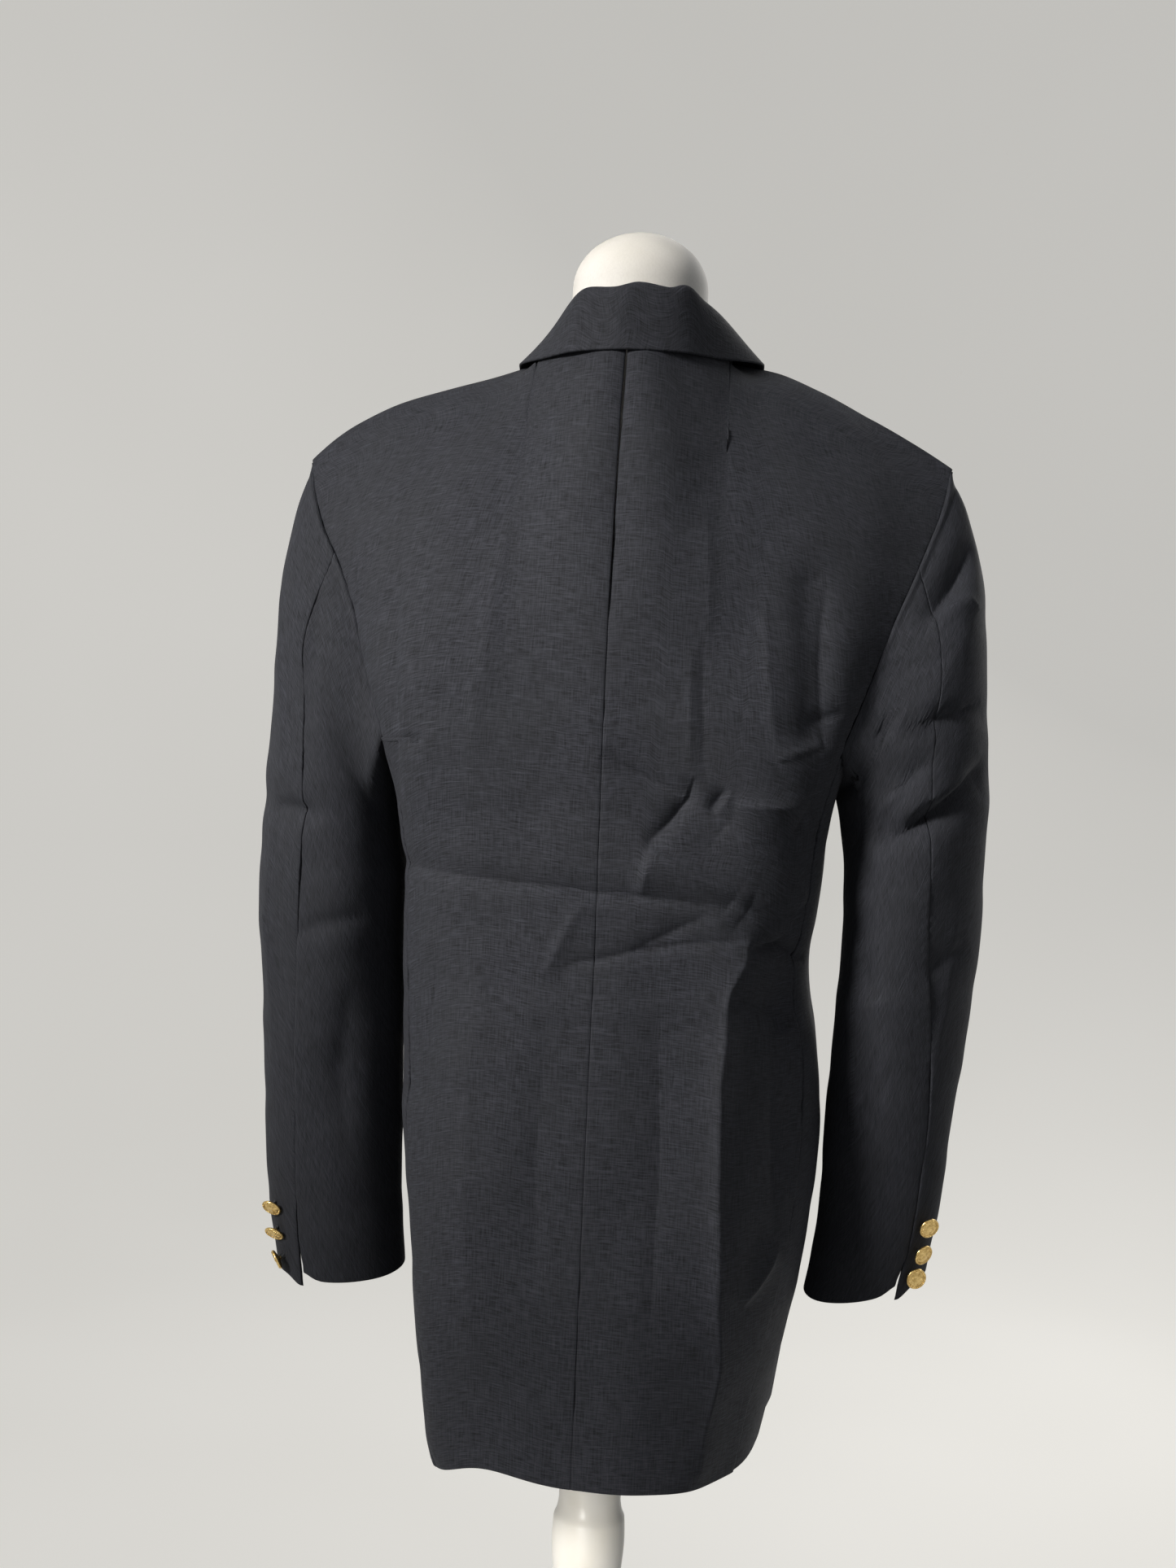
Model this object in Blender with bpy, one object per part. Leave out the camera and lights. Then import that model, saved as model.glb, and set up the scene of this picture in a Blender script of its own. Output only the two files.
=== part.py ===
"""A long, boxy blazer with padded shoulders, worn by a limbless dress form on a turned post.

Metres, +Z up. The origin is on the floor, under the middle of the foot. The wearer faces -Y, so
the centre-back seam is on the +Y side, and the wearer's left is +X.

Each cut piece is a wall of cloth. Its outer face is a smooth surface worked out from the tables
below, in the coordinates of its own side, where x is the distance from the centre plane. The
inner face lies one wall thickness inside it.
"""

import functools
import math

import bmesh
import bpy
import numpy as np
from mathutils import Matrix, Vector

# Driving sizes
WALL = 0.002
GAP = 0.0003
HEM_Z = 0.627
CHEST_Z = 1.125
FRONT_OVERLAP = 0.020
BREAK_Z = 0.990
UNDERARM_DIP = 0.020

NECK_HALF = 0.070
NECK_BACK_Y = 0.075
NECK_SIDE_Z = 1.412
NECK_SLOPE = 0.30
NAPE_RISE = 0.073
NAPE_BACK = 0.042
NAPE_REACH = 0.142
NECK_STEEP = 0.16
TOP_REACH = 0.062
FULL_X = 0.049
FULL_Y = 0.040
FULL_WIDE = 0.029
FULL_RISE = 0.028
NECK_COLUMNS = 5
BACK_RISE = 0.105
FRONT_RISE = 0.100
FRONT_TOP_REACH = 0.070
BLEND_AT_ARMHOLE = 2.5
HEM_LIFT = {"left": 0.009, "right": 0.000}
HEM_CORNER = {"left": -0.006, "right": -0.004}
HEM_CENTRE = 0.002
HEM_FADE = 0.3
LAP_DEPTH = {"left": 0.0082, "right": 0.0}
LAP_WIDE = 0.055
SEAM_TRIM = {"back": 0.0009, "side": 0.0009, "front": 0.0010}
SLEEVE_TRIM = 0.0018
SHOULDER_TRIM = 0.0008
TIP_X = {"left": 0.2440, "right": 0.2320}
SIGN = {"left": 1, "right": -1}

BUTTON_RADIUS = 0.0078
BUTTON_THICK = 0.0026
SHANK_RADIUS = 0.0016
SHANK_LENGTH = 0.0040

BASE_RADIUS = 0.150
BASE_THICK = 0.018
BASE_PROFILE = (
    (0.0360, BASE_THICK), (0.1300, BASE_THICK - 0.001), (0.1460, BASE_THICK - 0.004),
    (BASE_RADIUS, BASE_THICK - 0.010), (BASE_RADIUS, 0.0),
)

# Angles, in degrees: how far the ring has turned forwards at the back and front side seams
BACK_TURN = 66
FRONT_TURN = 52

# The body's ring at each height. seam is the side-back seam, half the widest point, at side_y,
# front the side-front seam, and centre_y the front edge
RING_COLUMNS = (
    "z", "back_y", "seam_x_left", "seam_y_left", "seam_x_right", "seam_y_right",
    "half_left", "half_right", "side_y", "front_x", "front_y", "centre_y",
)
RINGS = (
    (0.627, 0.127, 0.0985, 0.086, 0.1050, 0.054, 0.1200, 0.1210, -0.040, 0.1230, -0.128, -0.170),
    (0.700, 0.127, 0.1110, 0.078, 0.1185, 0.052, 0.1300, 0.1360, -0.032, 0.1300, -0.124, -0.169),
    (0.780, 0.126, 0.1235, 0.068, 0.1370, 0.050, 0.1415, 0.1510, -0.022, 0.1345, -0.118, -0.166),
    (0.860, 0.123, 0.1335, 0.062, 0.1450, 0.047, 0.1510, 0.1575, -0.014, 0.1360, -0.112, -0.160),
    (0.910, 0.121, 0.1375, 0.060, 0.1430, 0.050, 0.1525, 0.1530, -0.010, 0.1340, -0.108, -0.155),
    (0.975, 0.118, 0.1410, 0.060, 0.1350, 0.056, 0.1535, 0.1440, -0.006, 0.1310, -0.103, -0.149),
    (1.030, 0.118, 0.1430, 0.063, 0.1410, 0.064, 0.1535, 0.1510, -0.004, 0.1330, -0.099, -0.145),
    (1.080, 0.119, 0.1485, 0.072, 0.1470, 0.073, 0.1570, 0.1550, -0.002, 0.1400, -0.092, -0.141),
    (1.125, 0.121, 0.1610, 0.081, 0.1590, 0.081, 0.1650, 0.1620, 0.000, 0.1520, -0.083, -0.136),
)

# The armhole seam above the chest, down from the tip of the shoulder
ARMHOLE_COLUMNS = ("z", "back_y", "x_left", "x_right", "front_y")
ARMHOLE = (
    (1.309, 0.019, 0.2357, 0.2262, -0.020),
    (1.282, 0.036, 0.2241, 0.2172, -0.037),
    (1.250, 0.052, 0.2050, 0.2052, -0.052),
    (1.218, 0.063, 0.1908, 0.1925, -0.063),
    (1.185, 0.071, 0.1803, 0.1812, -0.070),
    (1.155, 0.077, 0.1702, 0.1706, -0.076),
)

# Height of the shoulder seam, by the share of the way from the neck to its tip
SHOULDER_COLUMNS = ("share", "z_left", "z_right")
SHOULDER = (
    (0.0, 1.4120, 1.4120),
    (0.2, 1.4005, 1.4065),
    (0.4, 1.3910, 1.3930),
    (0.6, 1.3810, 1.3760),
    (0.8, 1.3640, 1.3585),
    (0.9, 1.3520, 1.3490),
    (1.0, 1.3360, 1.3385),
)

# The sleeve's rings, from the armhole to the cuff. Each is tilted from its outer point to its
# inner one, and hind is the angle of the hind seam round it, from the outer point backwards
SLEEVE_COLUMNS = (
    "share", "out_x_left", "out_z_left", "in_x_left", "in_z_left",
    "out_x_right", "out_z_right", "in_x_right", "in_z_right",
    "mid_y", "half_y", "hind_left", "hind_right",
)
SLEEVE = (
    (0.00, 0.2440, 1.336, 0.1640, 1.105, 0.2320, 1.339, 0.1610, 1.105, 0.002, 0.078, 52, 52),
    (0.05, 0.2530, 1.318, 0.1640, 1.092, 0.2450, 1.325, 0.1612, 1.090, 0.003, 0.077, 57, 57),
    (0.12, 0.2580, 1.288, 0.1622, 1.075, 0.2500, 1.297, 0.1625, 1.073, 0.004, 0.075, 63, 64),
    (0.22, 0.2580, 1.235, 0.1600, 1.050, 0.2595, 1.245, 0.1660, 1.048, 0.004, 0.071, 70, 75),
    (0.34, 0.2615, 1.165, 0.1578, 1.015, 0.2635, 1.180, 0.1668, 1.012, 0.003, 0.068, 77, 82),
    (0.46, 0.2670, 1.092, 0.1580, 0.972, 0.2685, 1.105, 0.1665, 0.970, -0.002, 0.065, 80, 83),
    (0.60, 0.2700, 1.005, 0.1592, 0.915, 0.2675, 1.020, 0.1648, 0.925, -0.012, 0.060, 78, 78),
    (0.72, 0.2695, 0.935, 0.1608, 0.865, 0.2620, 0.945, 0.1625, 0.880, -0.022, 0.055, 74, 67),
    (0.84, 0.2675, 0.848, 0.1604, 0.803, 0.2535, 0.865, 0.1592, 0.820, -0.031, 0.049, 71, 56),
    (0.93, 0.2645, 0.775, 0.1597, 0.761, 0.2480, 0.800, 0.1556, 0.768, -0.038, 0.044, 68, 58),
    (1.00, 0.2575, 0.720, 0.1577, 0.723, 0.2410, 0.752, 0.1490, 0.727, -0.047, 0.040, 65, 61),
)
FORE_SEAM = 255
HEAD_SHARE = 0.22

# The way that the sleeve leaves the armhole, by the angle round it from the tip backwards
HEAD_COLUMNS = ("angle", "x", "y", "z")
HEAD = (
    (0, 0.78, 0.00, -0.62),
    (45, 0.86, 0.12, -0.50),
    (90, 0.86, 0.14, -0.50),
    (120, 0.66, 0.00, -0.75),
    (150, 0.26, -0.10, -0.96),
    (180, 0.06, 0.00, -1.00),
)

# The head of the sleeve stands a little off the armhole seam, more at its tip than underneath
HEAD_OUT = 0.0022
HEAD_OUT_LESS = 0.0007
HEAD_SIDE = 0.0009
HEAD_UP = 0.0010
HEAD_UP_LESS = 0.0016
HEAD_LEAVES = 0.18
HEAD_MEETS = 0.34

# The slit at the cuff opens from this share of the sleeve down, to an angle at the hem
CUFF_SLIT_SHARE = 0.88
CUFF_SLIT = 0.003
CUFF_REACH = 0.045

# The collar, from the centre back to the notch: its fold line, and where its outer edge lies
# on the panels, as the place across the panel and the place up it
COLLAR_COLUMNS = (
    "share", "fold_x_left", "fold_x_right", "fold_y", "fold_z",
    "panel", "across_left", "across_right", "up",
)
COLLAR = (
    (0.00, 0.0000, 0.0000, 0.0720, 1.4510, "back", 0.000, 0.000, 1.975),
    (0.20, 0.0270, 0.0310, 0.0670, 1.4500, "back", 0.130, 0.135, 1.976),
    (0.38, 0.0420, 0.0500, 0.0440, 1.4455, "back", 0.235, 0.255, 1.955),
    (0.52, 0.0530, 0.0620, 0.0060, 1.4355, "back", 0.357, 0.400, 1.9999),
    (0.68, 0.0590, 0.0620, -0.0370, 1.3990, "front", 0.870, 0.860, 1.930),
    (0.84, 0.0550, 0.0560, -0.0710, 1.3630, "front", 0.760, 0.760, 1.840),
    (0.94, 0.0523, 0.0530, -0.0898, 1.3380, "front", 0.700, 0.700, 1.770),
    (1.00, 0.0515, 0.0520, -0.0975, 1.3295, "front", 0.745, 0.745, 1.712),
)
COLLAR_SIDE = 0.52
COLLAR_DOWN_ROLL = 0.29
FOOT_EASE = 1.3
COLLAR_LIFT = 0.0055
FOLD_ROUND = 0.008

GORGE_UP = 1.697
LAPEL_COLUMNS = ("share", "width")
LAPEL = (
    (0.00, 0.000),
    (0.15, 0.030),
    (0.40, 0.058),
    (0.70, 0.078),
    (1.00, 0.088),
)
LAPEL_LIFT = 0.0032
LAPEL_LEAST = 0.006
LAPEL_START = 0.998
LAPEL_START_UP = 0.02
GORGE_SLANT = 0.05
FRONT_WIDE = 0.150

# The largest folds: which face it is on, its line on the cloth as (x, z) seen from the back,
# how far it stands out of the cloth or sinks in, and how wide it is to either side
BODY_FOLDS = (
    ("back", ((0.152, 1.040), (0.117, 1.0385), (0.084, 1.035), (0.0465, 1.0316), (0.002, 1.0295),
              (-0.055, 1.026), (-0.0885, 1.020), (-0.114, 0.998)), -0.0040, 0.011),
    ("back", ((-0.1025, 0.990), (-0.0957, 0.974), (-0.0890, 0.955), (-0.0890, 0.930),
              (-0.0920, 0.761), (-0.0940, 0.711), (-0.0880, 0.683), (-0.0800, 0.640)), 0.0070, 0.020),
    ("back", ((-0.113, 0.998), (-0.121, 0.970), (-0.124, 0.930)), -0.0060, 0.014),
    ("back", ((-0.134, 1.240), (-0.138, 1.190), (-0.140, 1.140)), -0.0050, 0.013),
    ("back", ((0.135, 0.860), (0.125, 0.780), (0.100, 0.640)), 0.0040, 0.016),
    ("front", ((0.110, 1.020), (0.060, 1.000), (0.010, 0.995)), -0.0040, 0.012),
    ("front", ((-0.110, 1.015), (-0.060, 1.005), (-0.010, 0.995)), -0.0040, 0.012),
    ("front", ((0.095, 0.900), (0.100, 0.760), (0.098, 0.640)), 0.0050, 0.018),
    ("front", ((-0.095, 0.900), (-0.102, 0.760), (-0.100, 0.640)), 0.0050, 0.018),
)
SLEEVE_FOLDS = (
    ("back", ((-0.190, 1.075), (-0.212, 1.080), (-0.228, 1.088), (-0.243, 1.100), (-0.258, 1.112),
              (-0.270, 1.128)), -0.0045, 0.010),
    ("back", ((-0.150, 1.112), (-0.172, 1.112), (-0.195, 1.114), (-0.215, 1.124)), -0.0030, 0.010),
    ("back", ((-0.248, 1.290), (-0.237, 1.265), (-0.224, 1.245), (-0.215, 1.228)), -0.0040, 0.010),
    ("back", ((-0.262, 1.165), (-0.240, 1.155), (-0.215, 1.148)), -0.0025, 0.011),
    ("back", ((0.262, 1.078), (0.245, 1.074), (0.228, 1.068)), -0.0030, 0.010),
    ("front", ((0.255, 1.060), (0.235, 1.050), (0.195, 1.045)), -0.0040, 0.012),
    ("front", ((-0.255, 1.060), (-0.235, 1.050), (-0.195, 1.045)), -0.0040, 0.012),
)

# The cuff buttons: the name and side of each, the share down the sleeve, the angle round it,
# and how far it nods and swings askew on its shank. The front buttons have a name and a height
CUFF_BUTTONS = (
    ("cuff_button_left_1", "left", 0.927, 41, -34, 22),
    ("cuff_button_left_2", "left", 0.952, 41, -38, 18),
    ("cuff_button_left_3", "left", 0.981, 45, -14, -22),
    ("cuff_button_right_1", "right", 0.928, 46, -10, -16),
    ("cuff_button_right_2", "right", 0.957, 47, -4, -6),
    ("cuff_button_right_3", "right", 0.986, 47, 6, -22),
)
FRONT_BUTTONS = (("front_button_1", 0.960), ("front_button_2", 0.840))
FRONT_BUTTON_IN = 0.020
FRONT_AT_BUTTONS = 0.160
BUTTON_SIDES = 14
BUTTON_DOME = 0.0007

# The dress form's rings, from its flat underside to the start of its domed neck
FORM_COLUMNS = ("z", "half_x", "back_y", "front_y", "square")
FORM = (
    (0.700, 0.112, 0.096, -0.110, 2.2),
    (0.780, 0.122, 0.104, -0.118, 2.2),
    (0.880, 0.116, 0.092, -0.108, 2.2),
    (0.990, 0.100, 0.080, -0.096, 2.2),
    (1.100, 0.124, 0.092, -0.112, 2.3),
    (1.200, 0.144, 0.100, -0.112, 2.3),
    (1.290, 0.158, 0.084, -0.088, 2.3),
    (1.330, 0.150, 0.070, -0.074, 2.3),
    (1.355, 0.130, 0.060, -0.062, 2.2),
    (1.375, 0.1010, 0.053, -0.0535, 2.1),
    (1.385, 0.0855, 0.052, -0.0512, 2.0),
    (1.393, 0.0720, 0.051, -0.0507, 2.0),
    (1.410, 0.0545, 0.0503, -0.050, 2.0),
    (1.430, 0.0505, 0.0500, -0.050, 2.0),
    (1.465, 0.0500, 0.0500, -0.050, 2.0),
)
FORM_HEIGHTS = (
    *np.linspace(0.700, 1.29, 11), 1.33, 1.355, 1.367, 1.378, 1.387, 1.398, 1.412, 1.430, 1.465,
)
FORM_SIDES = 28
DOME_Z = 1.465
DOME_DEGREES = (18, 36, 54, 70, 82)
NECK_TOP_Z = 1.506
NECK_RADIUS = 0.050

POST_PROFILE = (
    (0.0240, 0.6997), (0.0230, 0.6900), (0.0228, 0.5740), (0.0240, 0.5660), (0.0262, 0.5600),
    (0.0268, 0.5450), (0.0250, 0.5200), (0.0215, 0.4900), (0.0190, 0.4500), (0.0180, 0.3600),
    (0.0195, 0.2600), (0.0230, 0.1800), (0.0250, 0.1400), (0.0235, 0.1150), (0.0200, 0.1050),
    (0.0250, 0.0950), (0.0290, 0.0800), (0.0300, 0.0550), (0.0330, 0.0400), (0.0340, 0.0183),
)
POST_SIDES = 24
BASE_SIDES = 40


def column(table, names, name):
    """One named column of a table, as an array."""
    return np.array([row[names.index(name)] for row in table])


def smooth(places, values, at):
    """The values between the table's rows, on a cubic curve that doesn't overshoot them."""
    at = np.clip(at, places[0], places[-1])
    steps = np.diff(places)
    slopes = np.diff(values) / steps
    level = slopes[:-1] * slopes[1:] <= 0
    total = np.where(level, 1, slopes[:-1] + slopes[1:])
    middle = np.where(level, 0, 2 * slopes[:-1] * slopes[1:] / total)
    tangents = np.concatenate([slopes[:1], middle, slopes[-1:]])
    span = np.clip(np.searchsorted(places, at, side="right") - 1, 0, len(steps) - 1)
    width = steps[span]
    t = (at - places[span]) / width
    start = values[span] * (1 + 2 * t) * (1 - t) ** 2 + tangents[span] * width * t * (1 - t) ** 2
    end = values[span + 1] * (3 - 2 * t) * t**2 + tangents[span + 1] * width * t**2 * (t - 1)
    return start + end


def bezier(first, second, third, fourth, t):
    """Points at t on the cubic curve from first to fourth."""
    t = np.asarray(t)[..., None]
    return (
        (1 - t) ** 3 * first
        + 3 * (1 - t) ** 2 * t * second
        + 3 * (1 - t) * t**2 * third
        + t**3 * fourth
    )


def unit(vectors):
    """The same directions at length 1."""
    return vectors / np.linalg.norm(vectors, axis=-1, keepdims=True)


def stacked(*coordinates):
    """Points from their separate coordinates."""
    return np.stack(np.broadcast_arrays(*coordinates), axis=-1)


def ring_value(name, z):
    """One value of the body's ring at height z."""
    return smooth(column(RINGS, RING_COLUMNS, "z"), column(RINGS, RING_COLUMNS, name), z)


def front_edge_x(side, z):
    """The front's inner edge: past the centre below the break, and along the roll line above."""
    rise = np.clip((z - BREAK_Z) / (NECK_SIDE_Z - BREAK_Z), 0, 1)
    return -FRONT_OVERLAP + (NECK_HALF + FRONT_OVERLAP) * rise**0.95


def ring_point(side, panel, across, z):
    """A point of one panel on the body's ring at height z, at most the chest."""
    seam = stacked(ring_value("seam_x_" + side, z), ring_value("seam_y_" + side, z))
    widest = stacked(ring_value("half_" + side, z), ring_value("side_y", z))
    front = stacked(ring_value("front_x", z), ring_value("front_y", z))
    turn = math.radians(BACK_TURN)
    heading_back = np.array([math.cos(turn), -math.sin(turn)])
    turn = math.radians(FRONT_TURN)
    heading_front = np.array([-math.cos(turn), -math.sin(turn)])
    if panel == "back":
        back_y = ring_value("back_y", z)
        reach = 0.9 * (back_y - seam[..., 1]) / math.sin(math.radians(BACK_TURN))
        bend = seam - reach[..., None] * heading_back
        start = stacked(0.0, back_y)
        return bezier(start, stacked(0.6 * bend[..., 0], back_y), bend, seam, across)
    if panel == "side":
        first = np.linalg.norm(widest - seam, axis=-1)[..., None] / 3
        second = np.linalg.norm(front - widest, axis=-1)[..., None] / 3
        forward = np.array([0.0, -1.0])
        behind = bezier(
            seam, seam + first * heading_back, widest - first * forward, widest, 2 * across
        )
        ahead = bezier(
            widest, widest + second * forward, front - second * heading_front, front, 2 * across - 1
        )
        return np.where(np.asarray(across)[..., None] < 0.5, behind, ahead)
    centre_y = ring_value("centre_y", z)
    edge_x = front_edge_x(side, z)
    reach = 0.9 * (front[..., 1] - centre_y) / math.sin(math.radians(FRONT_TURN))
    bend = front + reach[..., None] * heading_front
    edge = stacked(edge_x, centre_y)
    inner = stacked(edge_x + 0.6 * (bend[..., 0] - edge_x), centre_y)
    return bezier(front, bend, inner, edge, across)


def at_height(side, panel, across, z):
    """The same point of the ring, with its height."""
    across, z = np.broadcast_arrays(across, z)
    flat = ring_point(side, panel, across, z)
    return stacked(flat[..., 0], flat[..., 1], z)


def shoulder_point(side, share):
    """The shoulder seam, from the side of the neck to its tip."""
    x = NECK_HALF + share * (TIP_X[side] - NECK_HALF)
    shares = column(SHOULDER, SHOULDER_COLUMNS, "share")
    z = smooth(shares, column(SHOULDER, SHOULDER_COLUMNS, "z_" + side), share)
    return stacked(x, 0.0, z)


def armhole_edge(side, panel, share):
    """The armhole seam of the back or the front, from the chest up to the tip."""
    z = column(ARMHOLE, ARMHOLE_COLUMNS, "z")
    x = column(ARMHOLE, ARMHOLE_COLUMNS, "x_" + side)
    y = column(ARMHOLE, ARMHOLE_COLUMNS, panel + "_y")
    tip = shoulder_point(side, 1.0)
    foot = at_height(side, panel, 1.0 if panel == "back" else 0.0, CHEST_Z)
    points = np.vstack([tip[None], stacked(x, y, z), foot[None]])[::-1]
    lengths = np.concatenate([[0], np.cumsum(np.linalg.norm(np.diff(points, axis=0), axis=1))])
    at = np.asarray(share) * lengths[-1]
    return stacked(*(smooth(lengths, points[:, axis], at) for axis in range(3)))


def neck_place(side):
    """How far across the back the side of the neck lies."""
    return NECK_HALF / TIP_X[side]


def eased(share):
    """A share from 0 to 1 that starts and ends level."""
    share = np.clip(share, 0, 1)
    return share * share * (3 - 2 * share)


def back_top(side, across):
    """Where the back's columns end: the shoulder seam, carried on up over the neck."""
    neck = neck_place(side)
    seam = shoulder_point(side, np.clip((across - neck) / (1 - neck), 0, 1))
    over = np.clip(1 - across / neck, 0, 1)
    lift = eased(over)
    z = seam[..., 2] + NECK_SLOPE * NECK_HALF * over * (1 - over) ** 2 + NAPE_RISE * lift
    return stacked(across * TIP_X[side], NAPE_BACK * lift, z)


def risen(side, panel, across, rise):
    """The columns' start at the chest and their first bend, which carries on straight up."""
    foot = at_height(side, panel, across, CHEST_Z)
    below = at_height(side, panel, across, CHEST_Z - 0.004)
    return foot, foot + rise * unit(foot - below)


def back_column(side, across, t):
    """The back above the chest: columns that lean forward over the shoulder blades."""
    foot, first = risen(side, "back", across, BACK_RISE)
    top = back_top(side, across)
    places = np.array([0, neck_place(side), 1])
    steep = smooth(places, np.array([1.0, NECK_STEEP, 0.0]), across)
    lean = unit(stacked(-0.10 * across, 1.00 - 0.50 * steep, -0.25 - 0.75 * steep))
    reach = TOP_REACH + (NAPE_REACH - TOP_REACH) * steep[..., None]
    points = bezier(foot, first, top + reach * lean, top, t)
    away = np.hypot(points[..., 0] - FULL_X, points[..., 1] - FULL_Y) / FULL_WIDE
    points[..., 2] += FULL_RISE * np.exp(-(away**2)) * eased(points[..., 1] / 0.03)
    return points


def front_column(side, across, t):
    """The front above the chest: columns that lean back to the shoulder seam."""
    foot, first = risen(side, "front", across, FRONT_RISE)
    top = shoulder_point(side, 1 - across)
    lean = unit(np.array([0, -1.00, -0.28]))
    return bezier(foot, first, top + FRONT_TOP_REACH * lean, top, t)


def roll_line(side, t):
    """The front's inner edge above the chest, up to the side of the neck."""
    z = CHEST_Z + t * (NECK_SIDE_Z - CHEST_Z)
    fall = np.clip((z - CHEST_Z) / (NECK_SIDE_Z - CHEST_Z), 0, 1)
    chest_y = at_height(side, "front", 1.0, CHEST_Z)[1]
    y = chest_y * (1 - fall**3.4)
    return stacked(front_edge_x(side, z), y, z)


def upper_back(side, across, t):
    """The back's columns, drawn onto the armhole at their outer side."""
    arm = armhole_edge(side, "back", t) - back_column(side, np.ones_like(across), t)
    return back_column(side, across, t) + (across**BLEND_AT_ARMHOLE)[..., None] * arm


def upper_front(side, across, t):
    """The front's columns, drawn onto the armhole at one side and the roll line at the other."""
    arm = armhole_edge(side, "front", t) - front_column(side, np.zeros_like(across), t)
    roll = roll_line(side, t) - front_column(side, np.ones_like(across), t)
    drawn = ((1 - across) ** BLEND_AT_ARMHOLE)[..., None] * arm + (across**2)[..., None] * roll
    return front_column(side, across, t) + drawn


@functools.cache
def neckline(side):
    """Where the neckline cuts the back's columns, by the angle round the neck from the centre."""
    turn = np.linspace(0, math.pi / 2, 61)
    across = neck_place(side) * np.sin(turn)
    low = np.full_like(turn, 0.5)
    high = np.ones_like(turn)
    for _ in range(24):
        middle = (low + high) / 2
        points = upper_back(side, across, middle)
        within = (points[:, 0] / NECK_HALF) ** 2 + (points[:, 1] / NECK_BACK_Y) ** 2 < 1
        high = np.where(within, middle, high)
        low = np.where(within, low, middle)
    return turn, np.where(turn > 1.57, 1.0, low)


def cut_at_neck(side, panel, across, up):
    """The same rows, brought down so that the back's last row runs along the neckline."""
    if panel != "back":
        return up
    turn = np.arcsin(np.clip(across / neck_place(side), 0, 1))
    return np.where(up > 1, 1 + (up - 1) * np.interp(turn, *neckline(side)), up)


def neck_columns(side):
    """Places across the back, evenly spaced round its neckline."""
    return neck_place(side) * np.sin(np.linspace(0, math.pi / 2, NECK_COLUMNS))


def hem_rise(side, panel, across):
    """The hem isn't quite level: it lifts a little beside the centre back."""
    if panel == "side":
        return HEM_CORNER[side] * (1 - across) ** 2
    if panel == "front":
        return np.zeros_like(across)
    rise = HEM_LIFT[side] * np.sin(math.pi * across) ** 2
    return rise + HEM_CORNER[side] * across**2 + HEM_CENTRE * (1 - across)


def body_surface(side, panel):
    """The outer face of a body panel. up is 0 at the hem, 1 at the chest and 2 at the top."""

    def surface(across, up):
        across, up = np.broadcast_arrays(np.asarray(across, float), np.asarray(up, float))
        fade = np.clip(1 - up / HEM_FADE, 0, 1) ** 2
        if panel == "side":
            top = CHEST_Z - UNDERARM_DIP * np.sin(math.pi * across)
            points = at_height(side, panel, across, HEM_Z + up * (top - HEM_Z))
            points[..., 2] += fade * hem_rise(side, panel, across)
            return points
        low = np.clip(up, 0, 1)
        points = at_height(side, panel, across, HEM_Z + low * (CHEST_Z - HEM_Z))
        points[..., 2] += fade * hem_rise(side, panel, across)
        upper = upper_back if panel == "back" else upper_front
        raised = upper(side, across, np.clip(up - 1, 0, 1))
        return np.where((up > 1)[..., None], raised, points)

    return surface


def armhole_ring(side, angle):
    """The whole armhole, by the angle round it from the tip backwards, in radians."""
    shares = np.linspace(0, 1, 60)
    halves = []
    for panel, across in (("back", 0.5 * shares), ("front", 1 - 0.5 * shares)):
        under = body_surface(side, "side")(across, 1.0)
        line = np.vstack([armhole_edge(side, panel, 1 - shares), under[1:]])
        length = np.concatenate([[0], np.cumsum(np.linalg.norm(np.diff(line, axis=0), axis=1))])
        halves.append((line, length / length[-1]))
    turn = np.mod(angle, 2 * math.pi)
    backwards = turn <= math.pi
    share = np.where(backwards, turn, 2 * math.pi - turn) / math.pi
    found = []
    for line, length in halves:
        found.append(stacked(*(np.interp(share, length, line[:, axis]) for axis in range(3))))
    return np.where(backwards[..., None], found[0], found[1])


def sleeve_value(name, share):
    """One value of the sleeve's ring at this share of its length."""
    shares = column(SLEEVE, SLEEVE_COLUMNS, "share")
    return smooth(shares, column(SLEEVE, SLEEVE_COLUMNS, name), share)


def sleeve_ring(side, angle, share):
    """A point of the sleeve's own tilted ring, below its head."""
    out_x = sleeve_value("out_x_" + side, share)
    out_z = sleeve_value("out_z_" + side, share)
    in_x = sleeve_value("in_x_" + side, share)
    in_z = sleeve_value("in_z_" + side, share)
    mid_y = sleeve_value("mid_y", share)
    half_y = sleeve_value("half_y", share)
    ahead = np.minimum(share + 0.02, 1)
    behind = ahead - 0.04
    drop = sleeve_value("out_z_" + side, behind) - sleeve_value("out_z_" + side, ahead)
    pitch = (sleeve_value("mid_y", behind) - sleeve_value("mid_y", ahead)) / drop
    x = (out_x + in_x) / 2 + (out_x - in_x) / 2 * np.cos(angle)
    z = (out_z + in_z) / 2 + (out_z - in_z) / 2 * np.cos(angle) - pitch * half_y * np.sin(angle)
    return stacked(x, mid_y + half_y * np.sin(angle), z)


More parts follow.
